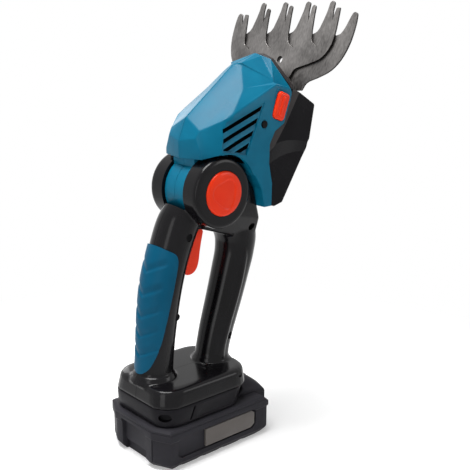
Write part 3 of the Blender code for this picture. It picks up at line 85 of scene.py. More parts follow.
def blank(name):
    """A new material, its tree, its shader and the object's own coordinates."""
    material = bpy.data.materials.new(name)
    material.use_nodes = True
    tree = material.node_tree
    place = add_node(tree, "ShaderNodeTexCoord").outputs["Object"]
    return material, tree, tree.nodes["Principled BSDF"], place


def surface(tree, shader, colour, gloss, relief):
    """Give a shader its colours, its range of gloss and its relief. Each starts with the
    pattern that drives it."""
    pattern, *stops = colour
    ramp = add_node(tree, "ShaderNodeValToRGB", links={"Fac": pattern}, stops=stops)
    tree.links.new(ramp.outputs["Color"], shader.inputs["Base Color"])
    pattern, low, high = gloss
    spread = add_node(tree, "ShaderNodeMapRange", links={"Value": pattern},
                      values={"From Min": 0.3, "From Max": 0.7, "To Min": low, "To Max": high})
    tree.links.new(spread.outputs["Result"], shader.inputs["Roughness"])
    pattern, strength, depth = relief
    bump = add_node(tree, "ShaderNodeBump", values={"Strength": strength, "Distance": depth},
                    links={"Height": pattern})
    tree.links.new(bump.outputs["Normal"], shader.inputs["Normal"])


def moulded(name, body, pale, rough, grain, relief, specular=0.5, ior=1.53):
    """A moulded plastic: an even colour with faint flow marks, a fine moulded grain and
    slightly uneven gloss. Grain is the grain's width in metres."""
    material, tree, shader, place = blank(name)
    flow = add_node(tree, "ShaderNodeTexNoise", links={"Vector": place},
                    values={"Scale": 38.0, "Detail": 3.0, "Roughness": 0.6}).outputs["Fac"]
    grains = add_node(tree, "ShaderNodeTexNoise", links={"Vector": place},
                      values={"Scale": 1.0 / grain, "Detail": 2.0,
                              "Roughness": 0.5}).outputs["Fac"]
    surface(tree, shader, (flow, (0.35, body), (0.75, pale)),
            (flow, rough * 0.9, min(1.0, rough * 1.12)), (grains, relief, 0.0002))
    shader.inputs["IOR"].default_value = ior
    shader.inputs["Specular IOR Level"].default_value = specular
    return material


def mm(value):
    """A size, a point or a list of points, from millimetres to metres."""
    return value / 1000 if isinstance(value, (int, float)) else [mm(part) for part in value]


def link_up(name, data):
    """A new object in the scene."""
    made = bpy.data.objects.new(name, data)
    bpy.context.scene.collection.objects.link(made)
    return made


def body_of(name, form):
    """An object from an edited form, with its faces turned outwards."""
    bmesh.ops.recalc_face_normals(form, faces=form.faces)
    mesh = bpy.data.meshes.new(name)
    form.to_mesh(mesh)
    form.free()
    return link_up(name, mesh)


def loft(name, rings, capped=True):
    """A closed body through rings of points. Its ends are capped, or are tips of one point."""
    form = bmesh.new()
    rows = [[form.verts.new(point) for point in ring] for ring in rings]
    sides = max(map(len, rows))
    for low, high in zip(rows, rows[1:]):
        for step in range(sides):
            after = (step + 1) % sides
            corners = [low[step % len(low)], low[after % len(low)],
                       high[after % len(high)], high[step % len(high)]]
            form.faces.new(list(dict.fromkeys(corners)))
    if capped:
        form.faces.new(list(reversed(rows[0])))
        form.faces.new(rows[-1])
    return body_of(name, form)


def final_mesh(made):
    """The mesh of an object as its modifiers or its curve leave it."""
    bpy.context.view_layer.update()
    return bpy.data.meshes.new_from_object(made.evaluated_get(
        bpy.context.evaluated_depsgraph_get()))


def settle(made):
    """Turn a piece with its modifiers into a plain mesh."""
    mesh = final_mesh(made)
    made.modifiers.clear()
    made.data = mesh
    return made


def carve(made, tools, operation="DIFFERENCE"):
    """Cut, add or keep the shape of other bodies, which are used up."""
    for tool in tools:
        change = made.modifiers.new("carve", "BOOLEAN")
        change.object = tool
        change.operation = operation
        change.solver = "EXACT"
    settle(made)
    for tool in tools:
        bpy.data.objects.remove(tool)
    return made


def split_flat(made):
    """Split every face into flat triangles, which later cuts need."""
    form = bmesh.new()
    form.from_mesh(made.data)
    bmesh.ops.triangulate(form, faces=form.faces)
    form.to_mesh(made.data)
    form.free()
    return made


def carve_each(made, tools, operation="DIFFERENCE"):
    """Cut or add bodies one after the other, since many at once can fail."""
    for tool in tools:
        split_flat(carve(made, [tool], operation))
    return made


def soften(made, width, segments=2, angle=25.0):
    """Round every edge sharper than an angle, as a mould does."""
    bevel = made.modifiers.new("soften", "BEVEL")
    bevel.width = width
    bevel.segments = segments
    bevel.limit_method = "ANGLE"
    bevel.angle_limit = math.radians(angle)
    return split_flat(settle(made))


def shade(made, angle=32.0):
    """Smooth shading with sharp edges kept sharp."""
    form = bmesh.new()
    form.from_mesh(made.data)
    for face in form.faces:
        face.smooth = True
    for edge in form.edges:
        edge.smooth = edge.calc_face_angle(math.pi) < math.radians(angle)
    form.to_mesh(made.data)
    form.free()
    return made


def circle(x, y, radius, sides, other=None):
    """Points round a circle, or round an oval with another half height."""
    turns = [2 * math.pi * step / sides for step in range(sides)]
    return [(x + radius * math.cos(turn), y + (other or radius) * math.sin(turn))
            for turn in turns]


def extruded(name, outline, low, high, place=Matrix.Identity(4)):
    """A flat outline drawn out along its normal, then put in place."""
    made = loft(name, [[(x, y, level) for x, y in outline] for level in (low, high)])
    made.data.transform(place)
    return made


def block(name, low, high, side=1):
    """A plain block, used as a cutter. Side -1 puts it on the right of the middle plane."""
    near, far = sorted((side * low[1], side * high[1]))
    outline = [(low[0], near), (high[0], near), (high[0], far), (low[0], far)]
    return extruded(name, outline, low[2], high[2])


side_view = Matrix(((1, 0, 0, 0), (0, 0, -1, 0), (0, 1, 0, 0), (0, 0, 0, 1)))


def side_block(name, outline, low_y, high_y, side=1):
    """An outline in the side view, drawn out across the shear."""
    near, far = sorted((side * low_y, side * high_y))
    return extruded(name, outline, -far, -near, side_view)


def pair(make, *given):
    """The same tool on the right and on the left of the middle plane."""
    return [make(*given, side) for side in both_sides]


def fit_out(made, material, body, slot, *replaced):
    """Give a finished piece its material and body, and hide the nodes that it stands for.
    The slot is not used.
    """
    made.data.materials.clear()
    made.data.materials.append(material)
    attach(made, body)
    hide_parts(*replaced)
    return made


def cut_corners(half_length, half_width, front, rear, height, shift=0.0):
    """A rectangle with cut corners at a height, as the battery's outline is. Front and rear
    give how far each cut runs along and across."""
    points = [(half_length, -half_width + front[1]), (half_length, half_width - front[1]),
              (half_length - front[0], half_width), (-half_length + rear[0], half_width),
              (-half_length, half_width - rear[1]), (-half_length, -half_width + rear[1]),
              (-half_length + rear[0], -half_width), (half_length - front[0], -half_width)]
    return [(x + shift, y, height) for x, y in points]


half_length = 0.0552
battery_middle = -0.0026
half_width = 0.0375


def battery_rings(levels):
    """The battery's outline at each height, drawn in by a distance."""
    return [cut_corners(half_length - inward, half_width - inward, (0.0062, 0.0069),
                        (0.0068, 0.0145), height, battery_middle) for height, inward in levels]


battery_abs = moulded("matt_black_abs", "#2a292d", "#323136", 0.5, 0.0007, 0.3, 0.06)
tub = loft("battery_tub", battery_rings(mm([(0, 4.8), (0.9, 3.9), (5, 0.9), (22.8, 0.9), (23.8, 0),
    (29, 0)])))
rear = battery_middle - half_length
front = battery_middle + half_length
clear = 0.001
tub_cuts = [block("rear_panel", (rear - clear, -0.0150, 0.0085), (rear + 0.0040, 0.0150, 0.0265)),
            block("rear_notch", (rear - clear, -0.0150, -clear), (rear + 0.0065, 0.0150, 0.0085))]
tub_cuts += pair(block, "foot_groove", (rear - clear, 0.0222, 0.0035),
                 (rear + 0.0016, 0.0236, 0.0225))
field = mm([(-40, 8.5), (30, 8.5), (33.8, 11.5), (33.8, 22.2), (30.5, 24.8), (-40, 24.8),
    (-43.2, 22.6), (-43.2, 10.7)])
tub_cuts.append(side_block("side_field", field, -half_width - clear, -half_width + 0.0026))
for place in range(5):
    for side in both_sides:
        groove = extruded("under_groove", circle(-0.0400 + 0.0200 * place, -0.0030, 0.0052, 10,
                                                 0.0046), -0.006, 0.006, side_view)
        groove.data.transform(Matrix.Translation((0, side * half_width, 0)))
        tub_cuts.append(groove)
lower_slope = [(front - 0.0141, -clear), (front + clear, -clear), (front + clear, 0.0147)]
upper_slope = [(front - 0.0124, 0.0335), (front + clear, 0.0335), (front + clear, 0.0212)]
for side in both_sides:
    tub_cuts += [side_block("lower_slope", lower_slope, 0.0246, 0.0400, side),
                 side_block("upper_slope", upper_slope, 0.0264, 0.0400, side)]
screw_places = mm([(-43.8, -20), (-43.8, 20), (42, -20), (42, 20)])
tub_cuts += [extruded("screw_well", circle(x, y, 0.0032, 24), -clear, 0.0019)
             for x, y in screw_places]
carve_each(tub, map(split_flat, tub_cuts))
fit_out(shade(soften(tub, 0.0007, 2, 24), 40), battery_abs, "battery", "matt_black",
        "battery_case_lower")


# Battery lid. The upper half of the same moulding, with the slide rail in the middle and a
# hump at the front end that houses the release key. It is screwed to the tub from below.

shoulder = 0.0324
rail_top = 0.0430
lid = loft("battery_lid", battery_rings(mm([(29.3, 0), (30.9, 0), (32, 1.2), (32.4, 2.4)])))
rail = block("rail", (-0.0500, -0.0220, shoulder - clear), (0.0205, 0.0220, rail_top))
hump_line = mm([(23.6, 31.4), (52.2, 31.4), (51.8, 34.5), (50, 37.5), (46.2, 40.4), (41.2, 42.3),
    (37.2, 43), (34, 43.2), (30.6, 43.2)])
hump_base = hump_line[0][1]
hump_half = [(-0.0262, 0.30), (-0.0246, 0.58), (-0.0210, 0.82), (-0.0160, 1.0)]
hump = loft("hump", [[(x, y, hump_base + (z - hump_base) * share) for x, z in hump_line]
                     for y, share in hump_half + [(-y, share) for y, share in hump_half[::-1]]])
carve_each(lid, map(split_flat, (rail, hump)), "UNION")
lid_cuts = pair(block, "rail_groove", (-0.0503, 0.0180, 0.0353), (0.0165, 0.0225, 0.0394))
lid_cuts += [block("contact_slot", (-0.0510, place * 0.0100 - 0.0011, 0.0375),
                   (-0.0220, place * 0.0100 + 0.0011, rail_top + clear)) for place in (-1, 0, 1)]
key_pocket = cut_corners(0.0050, 0.0113, (0.0010, 0.0010), (0.0010, 0.0010), 0.0303, 0.0462)
lid_cuts.append(loft("key_pocket", [key_pocket, [(x, y, 0.0600) for x, y, z in key_pocket]]))
lid_cuts += pair(block, "hump_line", (0.0330, 0.0140, 0.0428), (0.0400, 0.0152, 0.0450))
lid_cuts += pair(side_block, "upper_slope", upper_slope, 0.0264, 0.0400)
carve_each(lid, map(split_flat, lid_cuts))
fit_out(shade(soften(lid, 0.0005, 2, 35), 40), battery_abs, "battery", "matt_black",
        "battery_case_upper")


# Release key. A grey nylon key in the hump, pressed down against its coil to free the
# battery. Its top follows the hump, with three low ribs for the thumb.

key_nylon = moulded("grey_nylon", "#343337", "#3e3d41", 0.5, 0.0006, 0.3, 0.15)
key = side_block("release_key", mm([(41.5, 34.3), (50.9, 34.3), (50.9, 36.8), (49, 38.9),
    (41.5, 42.5)]), -0.0110, 0.0110)
soften(key, 0.0006, 2, 20)


def grown(name, build, inputs, material):
    """A Geometry Nodes tree on an empty mesh, made into a plain mesh. Build gets the tree
    and its input node, and returns the geometry. Inputs holds each input's value."""
    tree = bpy.data.node_groups.new(name, "GeometryNodeTree")
    for label, value in inputs.items():
        kind = "NodeSocketInt" if isinstance(value, int) else "NodeSocketFloat"
        tree.interface.new_socket(name=label, in_out="INPUT", socket_type=kind)
    tree.interface.new_socket(name="Geometry", in_out="OUTPUT", socket_type="NodeSocketGeometry")
    shape = build(tree, tree.nodes.new("NodeGroupInput").outputs)
    shape = add_node(tree, "GeometryNodeRealizeInstances", links={"Geometry": shape})
    shape = add_node(tree, "GeometryNodeSetMaterial", values={"Material": material},
                     links={"Geometry": shape.outputs["Geometry"]})
    add_node(tree, "NodeGroupOutput", links={"Geometry": shape.outputs["Geometry"]})
    made = link_up(name, bpy.data.meshes.new(name))
    modifier = made.modifiers.new("grown", "NODES")
    modifier.node_group = tree
    for label, value in inputs.items():
        modifier[tree.interface.items_tree[label].identifier] = value
    return settle(made)


def key_ribs(tree, given):
    """A row of low ribs: one bar repeated along a line down the key's slope."""
    line = add_node(tree, "GeometryNodeMeshLine", {"mode": "END_POINTS"},
                    {"Start Location": (0.0432, 0.0, 0.0417),
                     "Offset": (0.0482, 0.0, 0.0394)}, {"Count": given["Count"]})
    size = add_node(tree, "ShaderNodeCombineXYZ", values={"Y": 0.0160},
                    links={"X": given["Width"], "Z": given["Width"]}).outputs["Vector"]
    bar = add_node(tree, "GeometryNodeMeshCube", links={"Size": size}).outputs["Mesh"]
    return add_node(tree, "GeometryNodeInstanceOnPoints", values={"Rotation": (0, 0.45, 0)},
                    links={"Points": line.outputs["Mesh"], "Instance": bar}).outputs["Instances"]


carve(key, [grown("key_ribs", key_ribs, {"Count": 3, "Width": 0.0009}, key_nylon)], "UNION")
fit_out(shade(key, 35), key_nylon, "battery_latch", "inner_grey", "battery_latch")


# Side plate. A plain grey plate of printed polycarbonate film in the tub's sunk field. It
# is left bare, with rounded corners and a faint silk finish.

plate_film = moulded("grey_polycarbonate_film", "#5e5956", "#66615e", 0.38, 0.0004, 0.15, 0.2)
plate = side_block("battery_plate", mm([(-17.5, 9.8), (28.5, 9.8), (32.2, 12.5), (32.2, 21.4),
    (29.2, 23.7), (-17.5, 23.7)]), -half_width + 0.0008, -half_width + 0.0028)
fit_out(shade(soften(plate, 0.00025, 2, 30), 40), plate_film, "battery", "label_grey",
        "battery_label")


# Dock skirt. The lower ring of the handle's foot, moulded in black ABS and half matt. The
# battery's rail slides into it. Its front edge slants, and each side has a low panel.


def round_corners(rear_x, front_x, half_width, radius, height, steps=6):
    """A rectangle with round corners at a height, with the same points at every height."""
    points = []
    for x, y, start in ((front_x - radius, radius - half_width, -90),
                        (front_x - radius, half_width - radius, 0),
                        (rear_x + radius, half_width - radius, 90),
                        (rear_x + radius, radius - half_width, 180)):
        for step in range(steps + 1):
            angle = math.radians(start + 90 * step / steps)
            points.append((x + radius * math.cos(angle), y + radius * math.sin(angle), height))
    return points


skirt_abs = moulded("half_matt_black_abs", "#18171a", "#1e1d21", 0.36, 0.0007, 0.2, 0.06)
skirt = loft("dock_skirt_ring", [round_corners(*ring) for ring in mm([(-53, 22.6, 34, 15, 32.7),
    (-53.8, 23.2, 34.6, 15, 33.7), (-54.4, 24.8, 34.9, 16, 37.7), (-55.1, 28.6, 35.1, 17, 45.5),
    (-54.8, 29, 34.8, 17, 46.7)])])
carve(skirt, [block("rail_channel", (-0.0503, -0.0223, 0.0300), (0.0400, 0.0223, 0.0433))])
carve(skirt, pair(block, "rail_lip", (-0.0503, 0.0183, 0.0356), (0.0155, 0.0233, 0.0391)), "UNION")
low_panel = mm([(-22.5, 35.2), (10.5, 35.2), (16.5, 43), (15, 45), (-18, 45)])
slanted = mm([(-31.2, 35.2), (-29.6, 35.2), (-25.5, 45), (-27.1, 45)])
skirt_cuts = pair(side_block, "low_panel", low_panel, 0.0342, 0.0370)
skirt_cuts += pair(side_block, "slanted_line", slanted, 0.0338, 0.0380)
skirt_cuts += [block("contact_slit", (-0.0333, place * 0.0100 - 0.0007, 0.0430),
                     (-0.0227, place * 0.0100 + 0.0007, 0.0480)) for place in (-1, 0, 1)]
screw_well = extruded("screw_well", circle(0, 0, 0.0032, 16, 0.0050), -0.0060, 0.0080)
screw_well.data.transform(Matrix.Translation((-0.0505, -0.0300, 0.0405))
                          @ Matrix.Rotation(math.radians(-135), 4, "Z")
                          @ Matrix.Rotation(math.radians(84), 4, "Y"))
carve(skirt, skirt_cuts + [screw_well])
fit_out(shade(soften(skirt, 0.0004, 2, 38), 38), skirt_abs, "handle", "matt_black", "dock_skirt")


# Handle halves. The black gloss ABS frame: an oval dock on the skirt, a rear grip and a
# front strut that rise from flared collars, and two round cheeks at the top that carry the
# head. It is moulded in two halves that meet in the middle plane.

# Each station of a limb is its x, its z and its radius.
grip_line = mm([(-38.5, 56, 16.4), (-37.8, 60.5, 15.6), (-37.2, 64, 14.3), (-36.6, 72, 14),
    (-35.5, 86, 14.2), (-32.9, 110, 15), (-29, 132, 15.5), (-23, 152, 15.5), (-15, 172, 15.8),
    (-6, 185, 15)])
strut_line = mm([(17.6, 56, 14), (18, 60.5, 13.8), (18.8, 64.5, 13.4), (20.2, 72, 13.2),
    (24, 86, 13.6), (31.2, 108, 14.3), (37.5, 129, 14.9), (41.8, 145, 15.5), (42, 160, 16.4),
    (33, 174, 15.5), (18, 182, 14.5)])
pivot = Vector((0.0070, 0.0, 0.1977))
shell_wall = 0.0030
split_half = 0.00012
cheek_inner = 0.0125
cheek_outer = 0.0275
button_radius = 0.0166


def smooth_line(stations, count):
    """A smooth run through stations, each a row of numbers."""
    result = []
    last = len(stations) - 1
    for step in range(count):
        along = step / (count - 1) * last
        here = min(int(along), last - 1)
        part = along - here
        a, b = stations[max(here - 1, 0)], stations[here]
        c, d = stations[here + 1], stations[min(here + 2, last)]
        result.append(tuple(
            0.5 * (2 * q + (r - p) * part + (2 * p - 5 * q + 4 * r - s) * part ** 2
                   + (3 * q - p - 3 * r + s) * part ** 3) for p, q, r, s in zip(a, b, c, d)))
    return result


def limb(name, line, change, sides=48, count=56):
    """A round limb that follows a line in the middle plane, thicker or thinner by a change."""
    run = smooth_line(line, count)
    rings = []
    for step, (x, z, radius) in enumerate(run):
        before, after = run[max(step - 1, 0)], run[min(step + 1, count - 1)]
        along = Vector((after[0] - before[0], 0.0, after[1] - before[1])).normalized()
        across = Vector((-along.z, 0.0, along.x))
        rings.append([Vector((x, 0, z)) + (across * out + Vector((0, 1, 0)) * up)
                      * (radius + change) for out, up in circle(0, 0, 1, sides)])
    return loft(name, rings)


def turned(name, profile, side, centre=pivot, sides=64):
    """A body turned about the pivot's axis, from (radius, distance) points towards a side.
    Its first and last point lie on the axis."""
    return loft(name, [[(x, side * level, z)
                        for x, z in circle(centre.x, centre.z, radius, sides if radius else 1)]
                       for radius, level in profile], False)


def hulled(name, points):
    """The tight skin round a set of points."""
    form = bmesh.new()
    for point in points:
        form.verts.new(point)
    bmesh.ops.convex_hull(form, input=form.verts)
    return body_of(name, form)


def halves(whole, name):
    """The right and left moulding of a body, which is used up."""
    for mark, side in (("right", -1), ("left", 1)):
        half = link_up(f"{name}_{mark}", whole.data.copy())
        carve(half, [block("other_half", (-0.2, -0.1, -0.1), (0.2, split_half, 0.4), side)])
        yield mark, half
    bpy.data.objects.remove(whole)


dock = loft("dock", [round_corners(-0.0550 + inward, 0.0322 - 0.3 * inward, 0.0350 - inward,
    0.0170, height) for height, inward in mm([(47, 0), (47.6, 0), (56, 1.4), (57.8, 1.8),
    (59.2, 2.8), (60, 4.6), (60.4, 7)])])
parts = [limb("strut", strut_line, 0.0), dock]
cheek = mm([(0, 27.2), (22.8, 27.2), (24.8, 26.9), (25.9, 25.8), (26.3, 24), (26.3, 10), (0, 10)])
parts += pair(turned, "cheek", cheek)
lobe = mm([(16, 24, 180), (33, 23.5, 207), (39.5, 23, 198.5), (42.5, 22.5, 187), (45.5, 21.5, 180),
    (48.9, 20, 172.5), (51, 16.5, 177.5), (55, 13, 170), (57.2, 6, 166), (51, 13, 157),
    (29, 12, 160), (-2, 14, 170), (0, 22, 180)])
parts.append(hulled("lobe", [(x, side * y, z) for x, y, z in lobe for side in both_sides]))
bead_path = smooth_line(mm([(40.2, -15, 153), (38.5, -15, 139), (34.5, -14.7, 121),
    (29, -14.2, 104), (23.2, -13.4, 86), (19.2, -13, 72), (18, -13, 60)]), 24)
for side in both_sides:
    bead_rings = []
    for step, (x, y, z) in enumerate(bead_path):
        reach = 0.0025 * min(1.0, (step + 1) / 4)
        bead_rings.append([(*spot, z) for spot in circle(x, -side * y, reach, 10, 0.6 * reach)])
    parts.append(loft("strut_bead", bead_rings))
for x, z, radius in (grip_line[1], strut_line[1]):
    parts.append(loft("flare", [[(*spot, level) for spot in circle(x, 0.0, radius + grow,
        48)] for level, grow in mm([(58, 2.8), (60, 2.4), (60.8, 1.4), (62, 0.7), (64, 0.2)])]))
frame_body = limb("grip", grip_line, 0.0)
carve_each(frame_body, map(split_flat, parts), "UNION")
remesh = frame_body.modifiers.new("one_skin", "REMESH")
remesh.mode = "VOXEL"
remesh.voxel_size = 0.0008
settle(frame_body)
flow_out = frame_body.modifiers.new("moulded", "SMOOTH")
flow_out.factor = 0.5
flow_out.iterations = 7
split_flat(settle(frame_body))

slot_half = cheek_inner - 0.00005
tools = [side_block("neck_slot", circle(pivot.x, pivot.z, 0.0246, 96), -slot_half, slot_half)]
stem = mm([(-20.2, 32.2), (-23.6, 0), (23.6, 0), (15, 32.2)])
back = math.radians(60.0)
tools.append(side_block("stem_room", [
    (pivot.x + x * math.cos(back) - z * math.sin(back),
     pivot.z + x * math.sin(back) + z * math.cos(back)) for x, z in stem], -slot_half, slot_half))
tools += [limb("grip_hollow", grip_line[2:9], -shell_wall, 32, 40),
          limb("strut_hollow", strut_line[2:9], -shell_wall, 32, 40)]
cheek_room = mm([(0, 29), (16.9, 29), (16.9, 24.5), (23, 24.5), (23, 15.5), (6.3, 15.5), (6.3, 11),
    (0, 11)])
tools += pair(turned, "cheek_room", cheek_room)
trigger_room = mm([(-17.8, 128.2), (-6, 127.2), (0, 150), (7, 166.5), (6, 170), (-16, 172),
    (-21.8, 152), (-21.8, 133)])
tools.append(side_block("trigger_room", trigger_room, -0.0068, 0.0068))
# Each screw well is its x, its z and the level of its floor.
wells = mm([(-15.5, 166.2, 12.8), (-24.5, 106.6, 9.6), (44, 166, 10.6), (27, 80, 8.8),
    (20.5, 56.2, 31.4)])
tools += [side_block("well", circle(x, z, 0.0030, 24), -0.0400, -floor) for x, z, floor in wells]
carve(frame_body, tools)

handle_abs = moulded("gloss_black_abs", "#0d0c0e", "#121114", 0.16, 0.0009, 0.03, 0.15)
for mark, half in halves(frame_body, "handle"):
    fit_out(shade(half, 38), handle_abs, "handle", "gloss_black", "handle_shell_" + mark)


# Grip cover. A soft TPE skin moulded over the back of the grip. Five shallow V steps cross
# it, each with a small ledge that catches the light. Its edge runs to a point at the foot.

cover_tpe = moulded("teal_overmould_tpe", "#064e6b", "#0a5675", 0.42, 0.0006, 0.2, 0.08, 1.5)
step_heights = (0.1424, 0.1252, 0.1088, 0.0942, 0.0796)
step_rise = 0.48
step_reach = 0.0146
step_depth = 0.0011
step_fade = 0.0052
step_ledge = 0.0013

grip_cover = limb("grip_cover", grip_line[1:], 0.0013, 96, 240)
spine = smooth_line(grip_line[1:], 60)
for vertex in grip_cover.data.vertices:
    x, y, z = vertex.co
    if x > -0.0200 or z < 0.0500 or abs(y) > step_reach:
        continue
    for height in step_heights:
        above = z - (height + step_rise * abs(y))
        if not -step_ledge < above < step_fade:
            continue
        sunk = step_depth * (1 - above / step_fade if above > 0 else 1 + above / step_ledge)
        sunk *= min(1.0, (step_reach - abs(y)) / 0.0030)
        middle = min(spine, key=lambda item: abs(item[1] - z))
        vertex.co += Vector((middle[0] - x, -y, 0.0)).normalized() * sunk
cover_edge = smooth_line(mm([(-70, 174), (-42, 164), (-33, 159), (-28.4, 156), (-26.8, 152.5),
    (-27.2, 146), (-32.2, 125), (-36.8, 107), (-41.2, 90), (-46.2, 77), (-50, 69.6), (-56, 64),
    (-70, 62.5)]), 60)
carve(grip_cover, [limb("cover_core", grip_line, -0.0011, 96, 60)])
carve(grip_cover, [side_block("cover_edge", cover_edge, -0.0300, 0.0300)], "INTERSECT")
fit_out(shade(grip_cover, 30), cover_tpe, "handle", "blue_grip", "grip_overmould_right",
        "grip_overmould_left")


# Trigger. An orange-red ABS finger lever, hung on a steel pin at its top end and turned back
# by a coil. Its finger face is rounded.

orange_abs = moulded("orange_red_abs", "#f4330e", "#f83e17", 0.22, 0.0008, 0.06, 0.14)
trigger_line = smooth_line(mm([(5.2, 166.5), (3.6, 160), (2, 152), (1, 145), (-0.6, 139.6),
    (-3.6, 136), (-8.2, 134.6), (-13, 136), (-15.8, 139.6), (-16.6, 145), (-16, 160),
    (-13.6, 168.8), (-6, 171.5), (1, 170.5), (5.2, 166.5)]), 57)[:-1]
trigger = side_block("trigger_lever", trigger_line, -0.0065, 0.0065)
soften(trigger, 0.0026, 4, 40)
pin_place = (-0.0080, 0.1660)
carve(trigger, [side_block("pin_bore", circle(*pin_place, 0.0023, 24), -0.02, 0.02),
                side_block("coil_room", circle(*pin_place, 0.0048, 24), -0.0036, 0.0036)])
fit_out(shade(trigger, 30), orange_abs, "trigger", "orange_button", "trigger")


# Lock buttons. Two round orange-red buttons in the cheeks, pressed to let the head tilt.
# Each face is slightly domed and carries a low pad with three rounded corners.

dome_height = 0.0010
pad_radius = 0.0104
pad_lift = 0.0006
rim_radius = 0.0016
button_top = cheek_outer + 0.0021
button_floor = 0.0255


def button_level(radius, turn):
    """How far a button's face stands from the middle plane."""
    share = radius / button_radius
    level = button_top - dome_height * share ** 2
    pad = pad_radius * (1.0 + 0.13 * math.cos(3 * (turn - math.radians(50))))
    step = min(1.0, max(0.0, (pad + 0.0006 - radius) / 0.0012))
    level -= pad_lift * step * step * (3 - 2 * step)
    edge = max(0.0, radius - (button_radius - rim_radius)) / rim_radius
    return level - rim_radius * (1 - math.sqrt(max(0.0, 1 - edge * edge)))


def lock_button(name, side, sides=96):
    """A button as one closed skin: face, rim, skirt and the hollow behind."""
    outline = [(button_radius * (step / 26), None) for step in range(1, 23)]
    outline += [(button_radius - rim_radius + rim_radius * math.sin(step * math.pi / 12), None)
                for step in range(1, 7)]
    outline += [(button_radius, 0.0222), (button_radius - 0.0020, 0.0222),
                (button_radius - 0.0020, button_floor)]
    rings = [[(pivot.x, side * button_level(0, 0), pivot.z)]]
    for radius, level in outline:
        rings.append([(x, side * (level or button_level(radius, 2 * math.pi * step / sides)), z)
                      for step, (x, z) in enumerate(circle(pivot.x, pivot.z, radius, sides))])
    rings.append([(pivot.x, side * button_floor, pivot.z)])
    return shade(loft(name, rings, False), 40)


for mark, side in (("right", -1), ("left", 1)):
    fit_out(lock_button("lock_button_" + mark, side), orange_abs, "pivot_button_" + mark,
            "orange_button", "pivot_button_" + mark)


# Head shell. Two teal ABS halves with flat facets and soft creases, which wrap round the
# cheeks. Between the cheeks a round neck hangs on the axle. The sides carry cooling slots
# in a sunk field, closed behind by a baffle, a screw well and the release buttons' windows.

head_abs = moulded("teal_satin_abs", "#056482", "#0b6f8d", 0.3, 0.0008, 0.08, 0.09)
# Near black for the slot floors and walls: painted shade for the dark depth of the slots.
slot_painted_shade = moulded("painted_slot_shade", "#0a0a0b", "#0e0e0f", 0.6, 0.0010, 0.1, 0.05)
side_plane = 0.0300
# The head's corners in millimetres: those on the middle plane, then those on each side.
ridge = {"apex": (61.8, 0, 296), "mid": (38.5, 0, 287.8), "rear": (-6.5, 0, 251.2),
    "tail": (-12.8, 0, 235), "foot": (-12.6, 0, 221.8)}
flank = {"rim_top": (62.6, 6.2, 294.4), "brow": (63.8, 14.6, 291.9), "notch": (41.8, 5.3, 287.8),
    "dip": (38.9, 9.4, 283.5), "crease": (57.8, 24.7, 275.4), "shoulder": (31.6, 19.4, 271.2),
    "edge_front": (56, 28.5, 273.8), "rim": (72.7, 28, 270), "edge_mid": (14, 28.4, 253.9),
    "edge_rear": (6.7, 26.2, 250.9), "corner": (-7, 16.3, 242.9), "cheek_high": (-10.2, 15, 237.7),
    "cheek_mid": (-8.9, 20.5, 227.2), "cheek_low": (-8.9, 20.5, 222.4)}
wall_line = mm([(74.8, 260), (70, 250), (68, 215.6), (61, 183.2), (45.1, 182.9), (42, 198),
    (35.7, 208), (21.6, 218), (3, 226.2)])


def head_form(name):
    """The faceted head as a closed body, laid out facet by facet from its corners."""
    form = bmesh.new()
    spots = {key: form.verts.new(mm(spot)) for key, spot in ridge.items()}
    for key, (x, y, z) in flank.items():
        for mark, side in (("R", -1), ("L", 1)):
            spots[key + mark] = form.verts.new(mm((x, side * y, z)))
    for place, (x, z) in enumerate(wall_line):
        for mark, side in (("R", -1), ("L", 1)):
            spots[f"wall{place}{mark}"] = form.verts.new((x, side * side_plane, z))
    walls = [f"wall{place}" for place in range(len(wall_line))]
    facets = ["apex mid notch crease rim_top", "rim_top crease brow", "brow crease edge_front rim",
              "notch dip crease", "mid rear corner shoulder dip notch", "dip shoulder crease",
              "shoulder edge_mid edge_front crease", "corner edge_rear edge_mid shoulder",
              "rear tail cheek_high corner", "tail foot cheek_low cheek_mid cheek_high",
              "corner cheek_high cheek_mid", "corner cheek_mid cheek_low wall8 edge_rear",
              "edge_rear wall8 edge_mid",
              " ".join(["edge_mid", *reversed(walls), "rim", "edge_front"])]
    for facet in facets:
        for mark in "RL":
            form.faces.new([spots[key if key in ridge else key + mark] for key in facet.split()])
    across = ["apex rim_topR browR rimR rimL browL rim_topL"]
    run = ["rim"] + walls
    across += [f"{here}R {after}R {after}L {here}L" for here, after in zip(run, run[1:])]
    across.append("foot cheek_lowR wall8R wall8L cheek_lowL")
    for facet in across:
        form.faces.new([spots[key] for key in facet.split()])
    return body_of(name, form)


head = soften(head_form("head"), 0.0011, 3, 7)
baffle_level = 0.0205
core = head_form("head_core")
core_share = 0.91
core_width = 0.90
middle = Vector((0.0300, 0.0, 0.2400))
for vertex in core.data.vertices:
    vertex.co = middle + Vector(((vertex.co.x - middle.x) * core_share, vertex.co.y * core_width,
                                 (vertex.co.z - middle.z) * core_share))
keep_line = mm([(-50, 150), (47.8, 150), (47.8, 186.2), (44.7, 199), (37.8, 210.2), (23, 220.6),
    (3, 229), (-50, 229)])
carve(core, [side_block("keep", keep_line, -0.0500, 0.0500)])
vent_area = mm([(46.6, 263.2), (2, 249.2), (1, 226.2), (28.2, 222)])
for tool in pair(side_block, "baffle", vent_area, baffle_level, 0.0400):
    carve(core, [tool])
cheek_sweep = mm([(0, 50), (28.5, 50), (28.5, 12.3), (0, 12.3)])
carve_each(head, [core] + [turned("cheek_sweep", cheek_sweep, side, pivot, 96)
                           for side in both_sides])
neck_half = cheek_inner - 0.0003
neck = turned("neck", [(0.0, -neck_half), (0.0232, -neck_half), (0.0240, 0.0008 - neck_half),
                       (0.0240, neck_half - 0.0008), (0.0232, neck_half), (0.0, neck_half)],
              1, pivot, 96)
